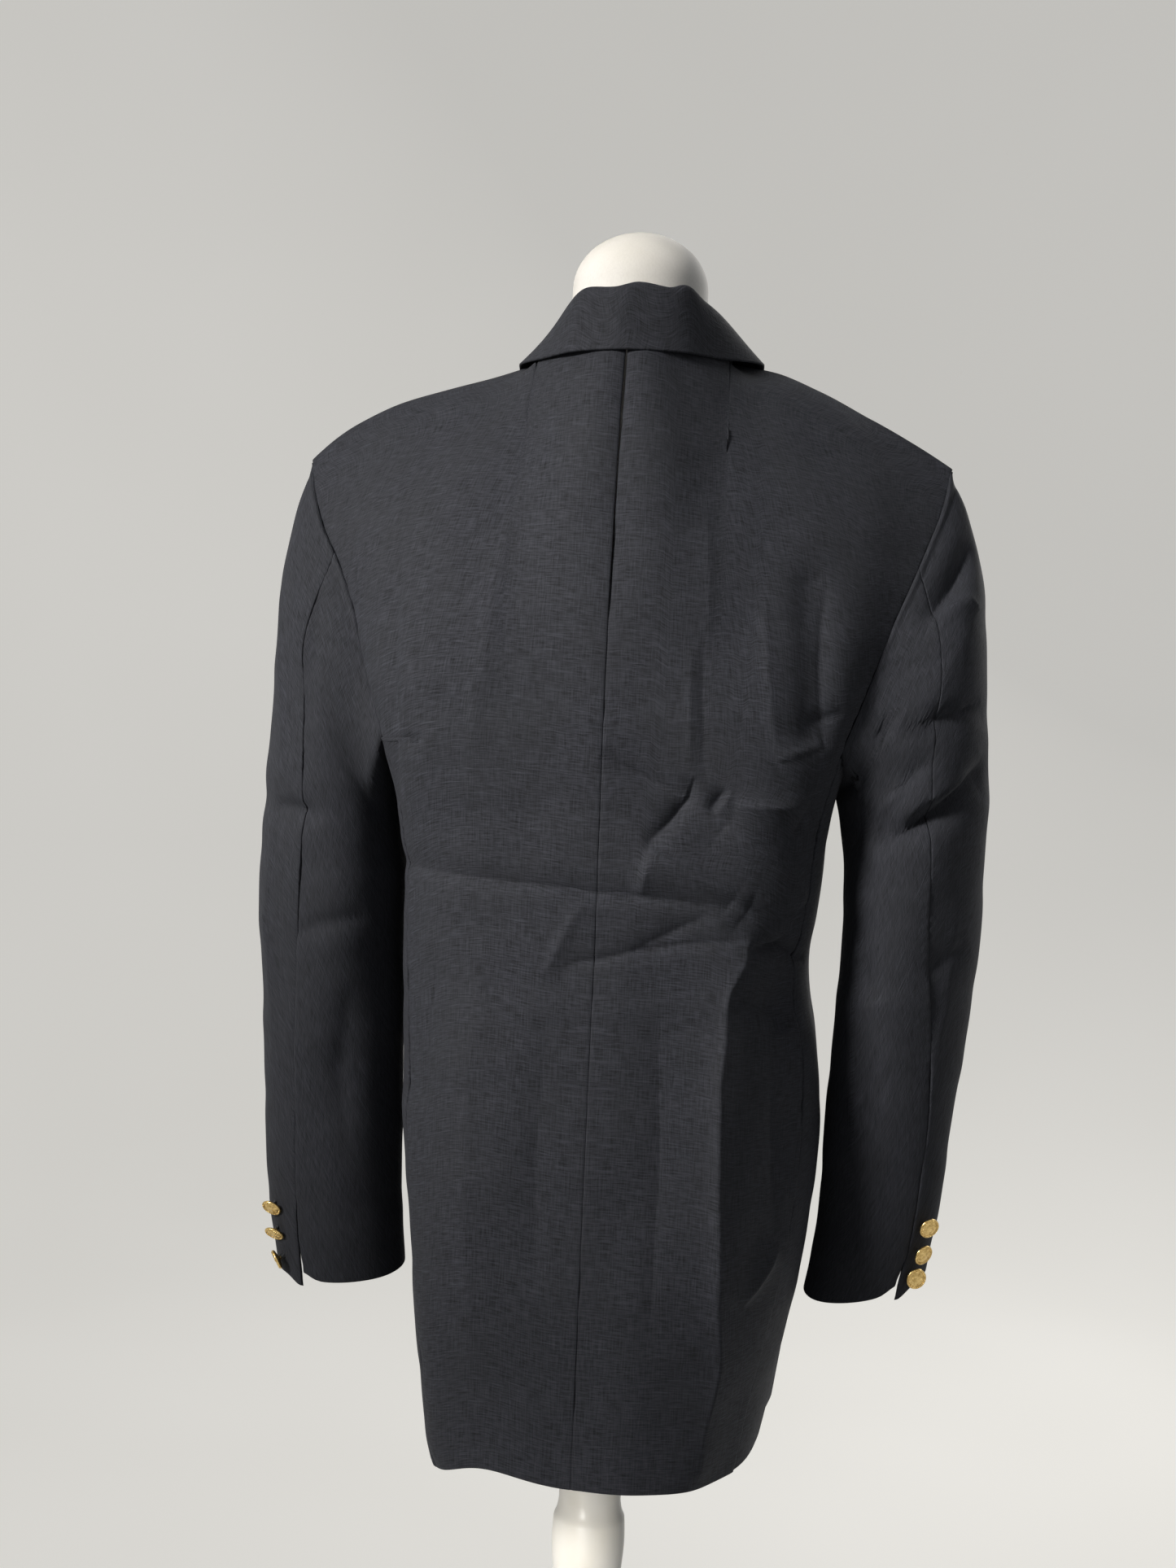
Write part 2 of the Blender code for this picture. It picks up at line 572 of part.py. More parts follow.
def sleeve_point(side, angle, share):
    """The sleeve's outer face: it leaves the armhole and bends down into its own rings."""
    inward = (1 - np.cos(angle)) / 2
    shift = stacked(
        HEAD_OUT - HEAD_OUT_LESS * inward,
        HEAD_SIDE * np.sin(angle),
        HEAD_UP - HEAD_UP_LESS * inward,
    )
    start = armhole_ring(side, angle) + shift
    bend = np.abs(np.mod(np.degrees(angle) + 180, 360) - 180)
    places = column(HEAD, HEAD_COLUMNS, "angle")
    leaving = [smooth(places, column(HEAD, HEAD_COLUMNS, name), bend) for name in ("x", "y", "z")]
    leaving = unit(stacked(leaving[0], leaving[1] * np.sign(np.sin(angle)), leaving[2]))
    low = np.full_like(share, HEAD_SHARE)
    foot = sleeve_ring(side, angle, low)
    falling = unit(sleeve_ring(side, angle, low + 0.01) - foot)
    span = np.linalg.norm(foot - start, axis=-1)[..., None]
    first = start + HEAD_LEAVES * span * leaving
    second = foot - HEAD_MEETS * span * falling
    head = bezier(start, first, second, foot, share / HEAD_SHARE)
    own = sleeve_ring(side, angle, share)
    return np.where((share < HEAD_SHARE)[..., None], head, own)


def hind_angle(side, share):
    """Where the hind seam lies round the sleeve."""
    return np.radians(sleeve_value("hind_" + side, share))


def sleeve_surface(side, panel):
    """The outer face of the top or the under sleeve. along is 0 at the armhole, 1 at the cuff."""
    fore = math.radians(FORE_SEAM)

    def surface(across, along):
        across, along = np.broadcast_arrays(np.asarray(across, float), np.asarray(along, float))
        hind = hind_angle(side, along)
        slit = np.clip((along - CUFF_SLIT_SHARE) / (1 - CUFF_SLIT_SHARE), 0, 1)
        opened = slit * CUFF_SLIT / CUFF_REACH
        if panel == "top":
            angle = fore - 2 * math.pi + across * (hind - fore + 2 * math.pi)
        else:
            angle = hind + opened + across * (fore - hind - opened)
        return sleeve_point(side, angle, along)

    return surface


def line_distance(x, z, line):
    """How far each point is from a line of straight stretches."""
    nearest = np.full(np.shape(x), 1e9)
    for (x0, z0), (x1, z1) in zip(line[:-1], line[1:]):
        length = (x1 - x0) ** 2 + (z1 - z0) ** 2
        t = np.clip(((x - x0) * (x1 - x0) + (z - z0) * (z1 - z0)) / length, 0, 1)
        nearest = np.minimum(nearest, np.hypot(x - x0 - t * (x1 - x0), z - z0 - t * (z1 - z0)))
    return nearest


def fold_height(side, points, folds, middle_y):
    """How far the folds raise or sink the cloth at each point."""
    height = np.zeros(points.shape[:-1])
    x = SIGN[side] * points[..., 0]
    for where, line, out, wide in folds:
        behind = 1 if where == "back" else -1
        facing = np.clip(behind * (points[..., 1] - middle_y) / 0.03, 0, 1)
        height += facing * out * np.exp(-((line_distance(x, points[..., 2], line) / wide) ** 2))
    return height


def surface_normals(surface, across, up, most_up):
    """The outward direction at each point, from the surface just beside it."""
    step = 1e-4
    left = surface(np.maximum(across - step, 0), up)
    right = surface(np.minimum(across + step, 1), up)
    low = surface(across, np.maximum(up - step, 0))
    high = surface(across, np.minimum(up + step, most_up))
    return unit(np.cross(high - low, right - left))


def folded(side, surface, folds, middle_y, most_up):
    """The same surface with its folds, which vanish at its open edges' last millimetres."""

    def with_folds(across, up):
        across, up = np.broadcast_arrays(np.asarray(across, float), np.asarray(up, float))
        points = surface(across, up)
        height = fold_height(side, points, folds, middle_y)
        if folds is SLEEVE_FOLDS:
            height = height * np.clip(up / 0.10, 0, 1)
        else:
            height = height * np.clip((1.9 - up) / 0.2, 0, 1)
        return points + height[..., None] * surface_normals(surface, across, up, most_up)

    return with_folds


def make_material(name, colour, roughness, metallic=0.0):
    """A plain surface in one colour."""
    material = bpy.data.materials.new(name)
    material.use_nodes = True
    shader = material.node_tree.nodes["Principled BSDF"]
    shader.inputs["Base Color"].default_value = (*colour, 1)
    shader.inputs["Roughness"].default_value = roughness
    shader.inputs["Metallic"].default_value = metallic
    material.diffuse_color = (*colour, 1)
    return material


def add_object(name, vertices, faces, material):
    """A closed mesh as its own object, with its faces turned outwards."""
    mesh = bpy.data.meshes.new(name)
    mesh.from_pydata([tuple(map(float, vertex)) for vertex in vertices], [], faces)
    shape = bmesh.new()
    shape.from_mesh(mesh)
    bmesh.ops.recalc_face_normals(shape, faces=shape.faces)
    shape.to_mesh(mesh)
    shape.free()
    mesh.materials.append(material)
    mesh.shade_smooth()
    mesh.set_sharp_from_angle(angle=math.radians(40))
    thing = bpy.data.objects.new(name, mesh)
    bpy.context.scene.collection.objects.link(thing)
    return thing


def cloth_wall(name, side, outer, inner, material):
    """A wall of cloth between its outer and its inner grid of points, closed round its edges."""
    rows, columns = outer.shape[:2]
    vertices = np.concatenate([outer.reshape(-1, 3), inner.reshape(-1, 3)])
    vertices = vertices * np.array([SIGN[side], 1, 1])
    within = rows * columns

    def number(row, place, layer):
        return layer * within + row * columns + place

    faces = []
    for row in range(rows - 1):
        for place in range(columns - 1):
            corners = ((row, place), (row, place + 1), (row + 1, place + 1), (row + 1, place))
            faces.append([number(*corner, 0) for corner in corners])
            faces.append([number(*corner, 1) for corner in reversed(corners)])
    border = [(0, place) for place in range(columns)]
    border += [(row, columns - 1) for row in range(1, rows)]
    border += [(rows - 1, place) for place in range(columns - 2, -1, -1)]
    border += [(row, 0) for row in range(rows - 2, 0, -1)]
    for here, there in zip(border, border[1:] + border[:1]):
        faces.append([number(*here, 1), number(*there, 1), number(*there, 0), number(*here, 0)])
    return add_object(name, vertices, faces, material)


def panel_wall(name, side, surface, across, up, most_up, material):
    """A wall whose outer face is the surface. On the shoulder seam it is cut square to the seam."""
    up_grid, across_grid = np.meshgrid(up, across, indexing="ij")
    up_grid = cut_at_neck(side, name.split("_")[0], across_grid, up_grid)
    outer = surface(across_grid, up_grid)
    direction = surface_normals(surface, across_grid, up_grid, most_up)
    ridge = (up_grid > 1.99) & (np.abs(outer[..., 1]) < 0.002)
    direction = np.where(ridge[..., None], unit(direction * np.array([1, 0, 1])), direction)
    return cloth_wall(name, side, outer, outer - WALL * direction, material)


def body_panels(cloth):
    """The backs, the side bodies and the fronts, each trimmed by half a seam's gap."""
    low = np.linspace(0, 1, 14)
    high = np.linspace(1, 2, 12)[1:]
    up = np.concatenate([low, high])
    up[-1] -= SHOULDER_TRIM
    for side in SIGN:
        for panel, trim in SEAM_TRIM.items():
            surface = body_surface(side, panel)
            surface = folded(side, surface, BODY_FOLDS, 0.0, 2 if panel != "side" else 1)
            if panel == "back":
                shoulder = np.linspace(neck_place(side), 1, 9)[1:]
                across = np.concatenate([neck_columns(side), shoulder])
                rows = up
            elif panel == "side":
                across = np.linspace(0, 1, 9)
                rows = low
            else:
                across = np.linspace(0, 1, 12)
                rows = up
            across = across.copy()
            across[0] += trim
            across[-1] -= trim
            if panel == "front":
                surface = lapped(side, surface)
            most_up = 1 if panel == "side" else 2
            panel_wall(f"{panel}_{side}", side, surface, across, rows, most_up, cloth)


def lapped(side, surface):
    """The front with its edge eased in where the other front lies over it."""

    def with_lap(across, up):
        points = surface(across, up).copy()
        points[..., 1] += LAP_DEPTH[side] * eased((NECK_HALF - points[..., 0]) / LAP_WIDE)
        return points

    return with_lap


def lapels(cloth):
    """Each lapel lies on its front, from the roll line outwards."""
    shares = column(LAPEL, LAPEL_COLUMNS, "share")
    widths = column(LAPEL, LAPEL_COLUMNS, "width")
    low = (BREAK_Z - HEM_Z) / (CHEST_Z - HEM_Z) + LAPEL_START_UP
    for side in SIGN:
        front = lapped(side, folded(side, body_surface(side, "front"), BODY_FOLDS, 0.0, 2))

        def surface(across, share, front=front):
            across, share = np.broadcast_arrays(np.asarray(across, float), np.asarray(share, float))
            up = low + share * (GORGE_UP - GORGE_SLANT * across - low)
            width = LAPEL_LEAST + smooth(shares, widths, share)
            place = LAPEL_START - across * width / FRONT_WIDE
            points = front(place, up)
            return points + LAPEL_LIFT * surface_normals(front, place, up, 2)

        across = np.linspace(1, 0, 6)
        share = np.linspace(0, 1, 13)
        panel_wall(f"lapel_{side}", side, surface, across, share, 1, cloth)


def collar_foot(side, share):
    """The collar's neck edge: round the neckline to the side of the neck, then down the roll."""
    if share > COLLAR_SIDE:
        down = (share - COLLAR_SIDE) / (1 - COLLAR_SIDE)
        return roll_line(side, np.array(1 - COLLAR_DOWN_ROLL * down))
    corners = neck_columns(side)
    points = body_surface(side, "back")(corners, cut_at_neck(side, "back", corners, 2.0))
    at = (share / COLLAR_SIDE) ** FOOT_EASE * (NECK_COLUMNS - 1)
    return np.array([np.interp(at, range(NECK_COLUMNS), points[:, axis]) for axis in range(3)])


def collar_lines(side, places):
    """One side of the collar's neck edge, fold line and outer edge, at each place along it."""
    shares = column(COLLAR, COLLAR_COLUMNS, "share")
    across = column(COLLAR, COLLAR_COLUMNS, "across_" + side)
    up = column(COLLAR, COLLAR_COLUMNS, "up")
    edge = []
    for number, row in enumerate(COLLAR):
        panel = row[COLLAR_COLUMNS.index("panel")]
        surface = body_surface(side, panel)
        place = across[number : number + 1]
        at = place, cut_at_neck(side, panel, place, up[number : number + 1])
        edge.append((surface(*at) + COLLAR_LIFT * surface_normals(surface, *at, 2))[0])
    names = ("fold_x_" + side, "fold_y", "fold_z")
    fold = stacked(*(column(COLLAR, COLLAR_COLUMNS, name) for name in names))
    foot = np.array([collar_foot(side, place) for place in places])
    found = [foot]
    for line in (fold, np.array(edge)):
        found.append(stacked(*(smooth(shares, line[:, axis], places) for axis in range(3))))
    return found


def collar(cloth):
    """One turned-over piece: the stand rises from the neck, and the fall lies on the panels."""
    places = np.linspace(0, 1, 13)
    halves = []
    for side in SIGN:
        mirror = np.array([SIGN[side], 1, 1])
        halves.append([line * mirror for line in collar_lines(side, places)])
    around = [np.concatenate([left[::-1], right[1:]]) for left, right in zip(*halves)]
    profile = np.concatenate([
        np.linspace(0, 0.38, 4), np.linspace(0.44, 0.56, 5), np.linspace(0.64, 1, 5)
    ])
    outer = []
    inner = []
    for start, fold, end in zip(*around):
        points, normals = collar_profile(start, fold, end, profile)
        outer.append(points)
        inner.append(points - WALL * normals)
    cloth_wall("collar", "left", np.array(outer), np.array(inner), cloth)


def collar_profile(start, fold, end, places):
    """The collar's section at one place: up the stand, over the fold and down the fall."""
    outward = end - fold
    outward[2] = 0
    outward = outward / np.linalg.norm(outward)
    rise = fold[2] - start[2]
    start = start + np.array([0, 0, 4 * GAP]) - outward * WALL
    round_by = min(FOLD_ROUND, 0.6 * rise + 0.0035)

    def curve(place):
        up_stand = bezier(
            start,
            start + np.array([0, 0, 0.55 * rise]),
            fold - outward * round_by * 0.6,
            fold,
            min(2 * place, 1.0),
        )
        fall = end - fold
        down_fall = bezier(
            fold,
            fold + outward * round_by,
            end - 0.5 * fall + outward * 0.002,
            end,
            max(2 * place - 1, 0.0),
        )
        return up_stand if place < 0.5 else down_fall

    points = np.array([curve(place) for place in places])
    ahead = np.array([curve(min(place + 1e-3, 1)) for place in places])
    behind = np.array([curve(max(place - 1e-3, 0)) for place in places])
    along = unit(ahead - behind)
    cross = np.cross(outward, np.array([0, 0, 1.0]))
    normals = unit(np.cross(along, cross))
    if normals[len(places) // 2][2] < 0:
        normals = -normals
    return points, normals


def sleeves(cloth):
    """The top and under sleeves, parted by a seam's gap."""
    along = np.concatenate([[0, 0.02, 0.05, 0.09], np.linspace(0.13, 1, 19)])
    for side in SIGN:
        for panel, count in (("top", 12), ("under", 10)):
            surface = folded(side, sleeve_surface(side, panel), SLEEVE_FOLDS, 0.0, 1)
            across = np.linspace(0, 1, count)
            across[0] += SLEEVE_TRIM
            across[-1] -= SLEEVE_TRIM
            panel_wall(f"sleeve_{panel}_{side}", side, surface, across, along, 1, cloth)


def closed_rings(name, rings, material):
    """A solid skinned over rings of equally many points, with a flat face at either end."""
    count = len(rings[0])
    vertices = [point for ring in rings for point in ring]
    last = len(vertices) - count
    faces = [list(range(count)), list(range(last, last + count))[::-1]]
    for ring in range(len(rings) - 1):
        for step in range(count):
            here = ring * count + step
            beside = ring * count + (step + 1) % count
            faces.append([here, beside, beside + count, here + count])
    return add_object(name, vertices, faces, material)


def turned(name, profile, sides, material):
    """A solid turned about the upright axis from (radius, height) points, top to bottom."""
    turn = [2 * math.pi * step / sides for step in range(sides)]
    rings = []
    for radius, z in profile:
        rings.append([(radius * math.cos(angle), radius * math.sin(angle), z) for angle in turn])
    return closed_rings(name, rings, material)


def button_profile():
    """A shank button lying flat: its rim, its domed face and its shank, from the face down."""
    return (
        (0.0030, BUTTON_DOME), (0.0058, 0.6 * BUTTON_DOME),
        (0.0066, 0.9 * BUTTON_DOME), (BUTTON_RADIUS, 0.2 * BUTTON_DOME),
        (BUTTON_RADIUS, -0.45 * BUTTON_THICK), (0.0062, -0.8 * BUTTON_THICK),
        (SHANK_RADIUS * 1.5, -BUTTON_THICK), (SHANK_RADIUS, -BUTTON_THICK - 0.0006),
        (SHANK_RADIUS, -BUTTON_THICK - SHANK_LENGTH),
    )


def place_button(name, side, piece, point, normal, nod, swing, brass):
    """Sets a button on a piece of cloth, with its shank's end one gap above it."""
    thing = turned(name, button_profile(), BUTTON_SIDES, brass)
    normal = normal * np.array([SIGN[side], 1, 1])
    above = point * np.array([SIGN[side], 1, 1]) + 0.01 * normal
    point = np.array(piece.ray_cast(Vector(above), Vector(-normal))[1])
    cross = unit(np.cross(np.array([0, 0, 1.0]), normal))
    climb = np.cross(normal, cross)
    tilt = math.radians(nod)
    turn = math.radians(swing)
    face = unit(
        normal * math.cos(tilt) * math.cos(turn) + climb * math.sin(tilt) + cross * math.sin(turn)
    )
    cross = unit(np.cross(climb, face))
    climb = np.cross(face, cross)
    seat = point + normal * (GAP + SHANK_RADIUS * math.hypot(math.sin(tilt), math.sin(turn)))
    centre = seat + face * (BUTTON_THICK + SHANK_LENGTH)
    turn_to = Matrix([list(map(float, row)) for row in np.stack([cross, climb, face], axis=1)])
    thing.matrix_world = Matrix.Translation(list(map(float, centre))) @ turn_to.to_4x4()


def buttons(brass):
    """Three buttons on each cuff and two on the right front."""
    bpy.context.view_layer.update()
    for name, side, share, degrees, nod, swing in CUFF_BUTTONS:
        angle = np.array([math.radians(degrees)])
        at = np.array([share])
        point = sleeve_point(side, angle, at)[0]
        step = 1e-3
        round_it = sleeve_point(side, angle + step, at) - sleeve_point(side, angle - step, at)
        down_it = sleeve_point(side, angle, at + step) - sleeve_point(side, angle, at - step)
        normal = unit(np.cross(down_it, round_it))[0]
        piece = bpy.data.objects["sleeve_top_" + side]
        place_button(name, side, piece, point, normal, nod, swing, brass)
    front = lapped("right", folded("right", body_surface("right", "front"), BODY_FOLDS, 0.0, 2))
    for name, height in FRONT_BUTTONS:
        up = np.array([(height - HEM_Z) / (CHEST_Z - HEM_Z)])
        across = np.array([1 - FRONT_BUTTON_IN / FRONT_AT_BUTTONS])
        point = front(across, up)[0]
        normal = surface_normals(front, across, up, 2)[0]
        piece = bpy.data.objects["front_right"]
        place_button(name, "right", piece, point, normal, 0, 0, brass)


def dress_form(jersey):
    """The limbless form: rings up to the neck, and a dome over it."""
    z_rows = column(FORM, FORM_COLUMNS, "z")
    turn = [2 * math.pi * step / FORM_SIDES for step in range(FORM_SIDES)]
    rings = []
    for z in FORM_HEIGHTS:
        values = {}
        for name in FORM_COLUMNS[1:]:
            values[name] = smooth(z_rows, column(FORM, FORM_COLUMNS, name), z)
        ring = []
        for angle in turn:
            bend = 2 / values["square"]
            x = values["half_x"] * math.copysign(abs(math.cos(angle)) ** bend, math.cos(angle))
            depth = values["back_y"] if math.sin(angle) > 0 else -values["front_y"]
            y = depth * math.copysign(abs(math.sin(angle)) ** bend, math.sin(angle))
            ring.append((x, y, z))
        rings.append(ring)
    for degrees in DOME_DEGREES:
        rise = math.radians(degrees)
        radius = NECK_RADIUS * math.cos(rise)
        z = DOME_Z + (NECK_TOP_Z - DOME_Z) * math.sin(rise)
        rings.append([(radius * math.cos(angle), radius * math.sin(angle), z) for angle in turn])
    return closed_rings("form", rings, jersey)


def main():
    """Clears the scene and models every piece."""
    for thing in list(bpy.data.objects):
        bpy.data.objects.remove(thing)
    cloth = make_material("charcoal_slub_linen", (0.028, 0.029, 0.033), 0.85)
    brass = make_material("polished_brass", (0.80, 0.52, 0.17), 0.28, 1.0)
    jersey = make_material("white_jersey", (0.80, 0.79, 0.76), 0.80)
    paint = make_material("white_satin_paint", (0.82, 0.80, 0.76), 0.45)
    body_panels(cloth)
    lapels(cloth)
    collar(cloth)
    sleeves(cloth)
    buttons(brass)
    dress_form(jersey)
    turned("post", POST_PROFILE, POST_SIDES, paint)
    turned("base", BASE_PROFILE, BASE_SIDES, paint)


main()
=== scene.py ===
"""The looks of a long, boxy linen blazer on a limbless dress form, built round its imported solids.

Metres, +Z up, in the solids' own frame: the wearer faces -Y and the wearer's left is +X. Each cut
piece of cloth is worked out again from the sizes that its solid has, on a fine grid, with its
creases, seams and rounded edges. The tables hold each size in the coordinates of its own side,
where x is the distance from the centre plane, and the creases as they lie on the whole blazer.
"""

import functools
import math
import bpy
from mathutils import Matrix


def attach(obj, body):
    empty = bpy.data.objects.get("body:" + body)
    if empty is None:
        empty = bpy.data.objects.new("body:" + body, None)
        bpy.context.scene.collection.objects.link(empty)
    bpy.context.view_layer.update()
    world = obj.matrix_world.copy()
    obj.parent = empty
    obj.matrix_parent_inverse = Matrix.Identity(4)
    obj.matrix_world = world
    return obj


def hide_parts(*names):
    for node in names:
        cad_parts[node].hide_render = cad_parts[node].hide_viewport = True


bl_info = {
    "name": "Linen blazer on a dress form",
    "version": (1, 0, 0),
    "blender": (4, 5, 0),
    "location": "View3D > Sidebar > Blazer",
    "description": "Builds the cloth, buttons, dress form, stand and studio of a linen blazer",
    "category": "Object",
}

import bmesh
import bpy
import numpy as np
from mathutils import Matrix, Vector

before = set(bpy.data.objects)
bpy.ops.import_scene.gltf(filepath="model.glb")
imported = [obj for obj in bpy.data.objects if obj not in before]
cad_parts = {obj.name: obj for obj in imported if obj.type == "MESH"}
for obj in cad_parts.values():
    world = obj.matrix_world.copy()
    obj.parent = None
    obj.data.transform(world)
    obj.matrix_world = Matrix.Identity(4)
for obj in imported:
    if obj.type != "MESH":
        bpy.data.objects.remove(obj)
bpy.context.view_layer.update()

# Driving sizes
WALL = 0.002
GAP = 0.0003
HEM_Z = 0.627
CHEST_Z = 1.125
FRONT_OVERLAP = 0.020
BREAK_Z = 0.990
UNDERARM_DIP = 0.020

NECK_HALF = 0.070
NECK_BACK_Y = 0.075
NECK_SIDE_Z = 1.412
NECK_SLOPE = 0.30
NAPE_RISE = 0.073
NAPE_BACK = 0.042
NAPE_REACH = 0.142
NECK_STEEP = 0.16
TOP_REACH = 0.062
FULL_X = 0.049
FULL_Y = 0.040
FULL_WIDE = 0.029
FULL_RISE = 0.028
NECK_COLUMNS = 33
BACK_RISE = 0.105
FRONT_RISE = 0.100
FRONT_TOP_REACH = 0.070
BLEND_AT_ARMHOLE = 2.5
HEM_LIFT = {"left": 0.009, "right": 0.000}
HEM_CORNER = {"left": -0.006, "right": -0.004}
HEM_CENTRE = 0.002
HEM_FADE = 0.3
LAP_DEPTH = {"left": 0.0082, "right": 0.0}
LAP_WIDE = 0.055
TIP_X = {"left": 0.2440, "right": 0.2320}
SIGN = {"left": 1, "right": -1}

BUTTON_RADIUS = 0.0078
BUTTON_THICK = 0.0026
SHANK_RADIUS = 0.0016
SHANK_LENGTH = 0.0040

BASE_RADIUS = 0.150
BASE_THICK = 0.018

# Angles, in degrees: how far the ring has turned forwards at the back and front side seams
BACK_TURN = 66
FRONT_TURN = 52

# How far the ring's two bends reach, and how the roll line bends and falls back
SEAM_REACH = 0.9
CENTRE_REACH = 0.6
ROLL_BEND = 0.95
ROLL_FALL = 3.4

# The body's ring at each height. seam is the side-back seam, half the widest point, at side_y,
# front the side-front seam, and centre_y the front edge
RING_COLUMNS = (
    "z", "back_y", "seam_x_left", "seam_y_left", "seam_x_right", "seam_y_right",
    "half_left", "half_right", "side_y", "front_x", "front_y", "centre_y",
)
RINGS = (
    (0.627, 0.127, 0.0985, 0.086, 0.1050, 0.054, 0.1200, 0.1210, -0.040, 0.1230, -0.128, -0.170),
    (0.700, 0.127, 0.1110, 0.078, 0.1185, 0.052, 0.1300, 0.1360, -0.032, 0.1300, -0.124, -0.169),
    (0.780, 0.126, 0.1235, 0.068, 0.1370, 0.050, 0.1415, 0.1510, -0.022, 0.1345, -0.118, -0.166),
    (0.860, 0.123, 0.1335, 0.062, 0.1450, 0.047, 0.1510, 0.1575, -0.014, 0.1360, -0.112, -0.160),
    (0.910, 0.121, 0.1375, 0.060, 0.1430, 0.050, 0.1525, 0.1530, -0.010, 0.1340, -0.108, -0.155),
    (0.975, 0.118, 0.1410, 0.060, 0.1350, 0.056, 0.1535, 0.1440, -0.006, 0.1310, -0.103, -0.149),
    (1.030, 0.118, 0.1430, 0.063, 0.1410, 0.064, 0.1535, 0.1510, -0.004, 0.1330, -0.099, -0.145),
    (1.080, 0.119, 0.1485, 0.072, 0.1470, 0.073, 0.1570, 0.1550, -0.002, 0.1400, -0.092, -0.141),
    (1.125, 0.121, 0.1610, 0.081, 0.1590, 0.081, 0.1650, 0.1620, 0.000, 0.1520, -0.083, -0.136),
)

# The armhole seam above the chest, down from the tip of the shoulder
ARMHOLE_COLUMNS = ("z", "back_y", "x_left", "x_right", "front_y")
ARMHOLE = (
    (1.309, 0.019, 0.2357, 0.2262, -0.020),
    (1.282, 0.036, 0.2241, 0.2172, -0.037),
    (1.250, 0.052, 0.2050, 0.2052, -0.052),
    (1.218, 0.063, 0.1908, 0.1925, -0.063),
    (1.185, 0.071, 0.1803, 0.1812, -0.070),
    (1.155, 0.077, 0.1702, 0.1706, -0.076),
)

# Height of the shoulder seam, by the share of the way from the neck to its tip
SHOULDER_COLUMNS = ("share", "z_left", "z_right")
SHOULDER = (
    (0.0, 1.4120, 1.4120),
    (0.2, 1.4005, 1.4065),
    (0.4, 1.3910, 1.3930),
    (0.6, 1.3810, 1.3760),
    (0.8, 1.3640, 1.3585),
    (0.9, 1.3520, 1.3490),
    (1.0, 1.3360, 1.3385),
)

# The sleeve's rings, from the armhole to the cuff. Each is tilted from its outer point to its
# inner one, and hind is the angle of the hind seam round it, from the outer point backwards
SLEEVE_COLUMNS = (
    "share", "out_x_left", "out_z_left", "in_x_left", "in_z_left",
    "out_x_right", "out_z_right", "in_x_right", "in_z_right",
    "mid_y", "half_y", "hind_left", "hind_right",
)
SLEEVE = (
    (0.00, 0.2440, 1.336, 0.1640, 1.105, 0.2320, 1.339, 0.1610, 1.105, 0.002, 0.078, 52, 52),
    (0.05, 0.2530, 1.318, 0.1640, 1.092, 0.2450, 1.325, 0.1612, 1.090, 0.003, 0.077, 57, 57),
    (0.12, 0.2580, 1.288, 0.1622, 1.075, 0.2500, 1.297, 0.1625, 1.073, 0.004, 0.075, 63, 64),
    (0.22, 0.2580, 1.235, 0.1600, 1.050, 0.2595, 1.245, 0.1660, 1.048, 0.004, 0.071, 70, 75),
    (0.34, 0.2615, 1.165, 0.1578, 1.015, 0.2635, 1.180, 0.1668, 1.012, 0.003, 0.068, 77, 82),
    (0.46, 0.2670, 1.092, 0.1580, 0.972, 0.2685, 1.105, 0.1665, 0.970, -0.002, 0.065, 80, 83),
    (0.60, 0.2700, 1.005, 0.1592, 0.915, 0.2675, 1.020, 0.1648, 0.925, -0.012, 0.060, 78, 78),
    (0.72, 0.2695, 0.935, 0.1608, 0.865, 0.2620, 0.945, 0.1625, 0.880, -0.022, 0.055, 74, 67),
    (0.84, 0.2675, 0.848, 0.1604, 0.803, 0.2535, 0.865, 0.1592, 0.820, -0.031, 0.049, 71, 56),
    (0.93, 0.2645, 0.775, 0.1597, 0.761, 0.2480, 0.800, 0.1556, 0.768, -0.038, 0.044, 68, 58),
    (1.00, 0.2575, 0.720, 0.1577, 0.723, 0.2410, 0.752, 0.1490, 0.727, -0.047, 0.040, 65, 61),
)
FORE_SEAM = 255
HEAD_SHARE = 0.22

# The way that the sleeve leaves the armhole, by the angle round it from the tip backwards
HEAD_COLUMNS = ("angle", "x", "y", "z")
HEAD = (
    (0, 0.78, 0.00, -0.62),
    (45, 0.86, 0.12, -0.50),
    (90, 0.86, 0.14, -0.50),
    (120, 0.66, 0.00, -0.75),
    (150, 0.26, -0.10, -0.96),
    (180, 0.06, 0.00, -1.00),
)
HEAD_SHIFT = (-0.0012, 0.0, -0.0004)
HEAD_LEAVES = 0.18
HEAD_MEETS = 0.34

CUFF_SLIT_SHARE = 0.88
CUFF_SLIT = 0.0012
CUFF_REACH = 0.045

# The collar, from the centre back to the notch: its fold line, and where its outer edge lies
# on the panels, as the place across the panel and the place up it
COLLAR_COLUMNS = (
    "share", "fold_x_left", "fold_x_right", "fold_y", "fold_z",
    "panel", "across_left", "across_right", "up",
)
COLLAR = (
    (0.00, 0.0000, 0.0000, 0.0720, 1.4510, "back", 0.000, 0.000, 1.975),
    (0.20, 0.0270, 0.0310, 0.0670, 1.4500, "back", 0.130, 0.135, 1.976),
    (0.38, 0.0420, 0.0500, 0.0440, 1.4455, "back", 0.235, 0.255, 1.955),
    (0.52, 0.0530, 0.0620, 0.0060, 1.4355, "back", 0.357, 0.400, 1.9999),
    (0.68, 0.0590, 0.0620, -0.0370, 1.3990, "front", 0.870, 0.860, 1.930),
    (0.84, 0.0550, 0.0560, -0.0710, 1.3630, "front", 0.760, 0.760, 1.840),
    (0.94, 0.0523, 0.0530, -0.0898, 1.3380, "front", 0.700, 0.700, 1.770),
    (1.00, 0.0515, 0.0520, -0.0975, 1.3295, "front", 0.745, 0.745, 1.712),
)
COLLAR_SIDE = 0.52
COLLAR_DOWN_ROLL = 0.29
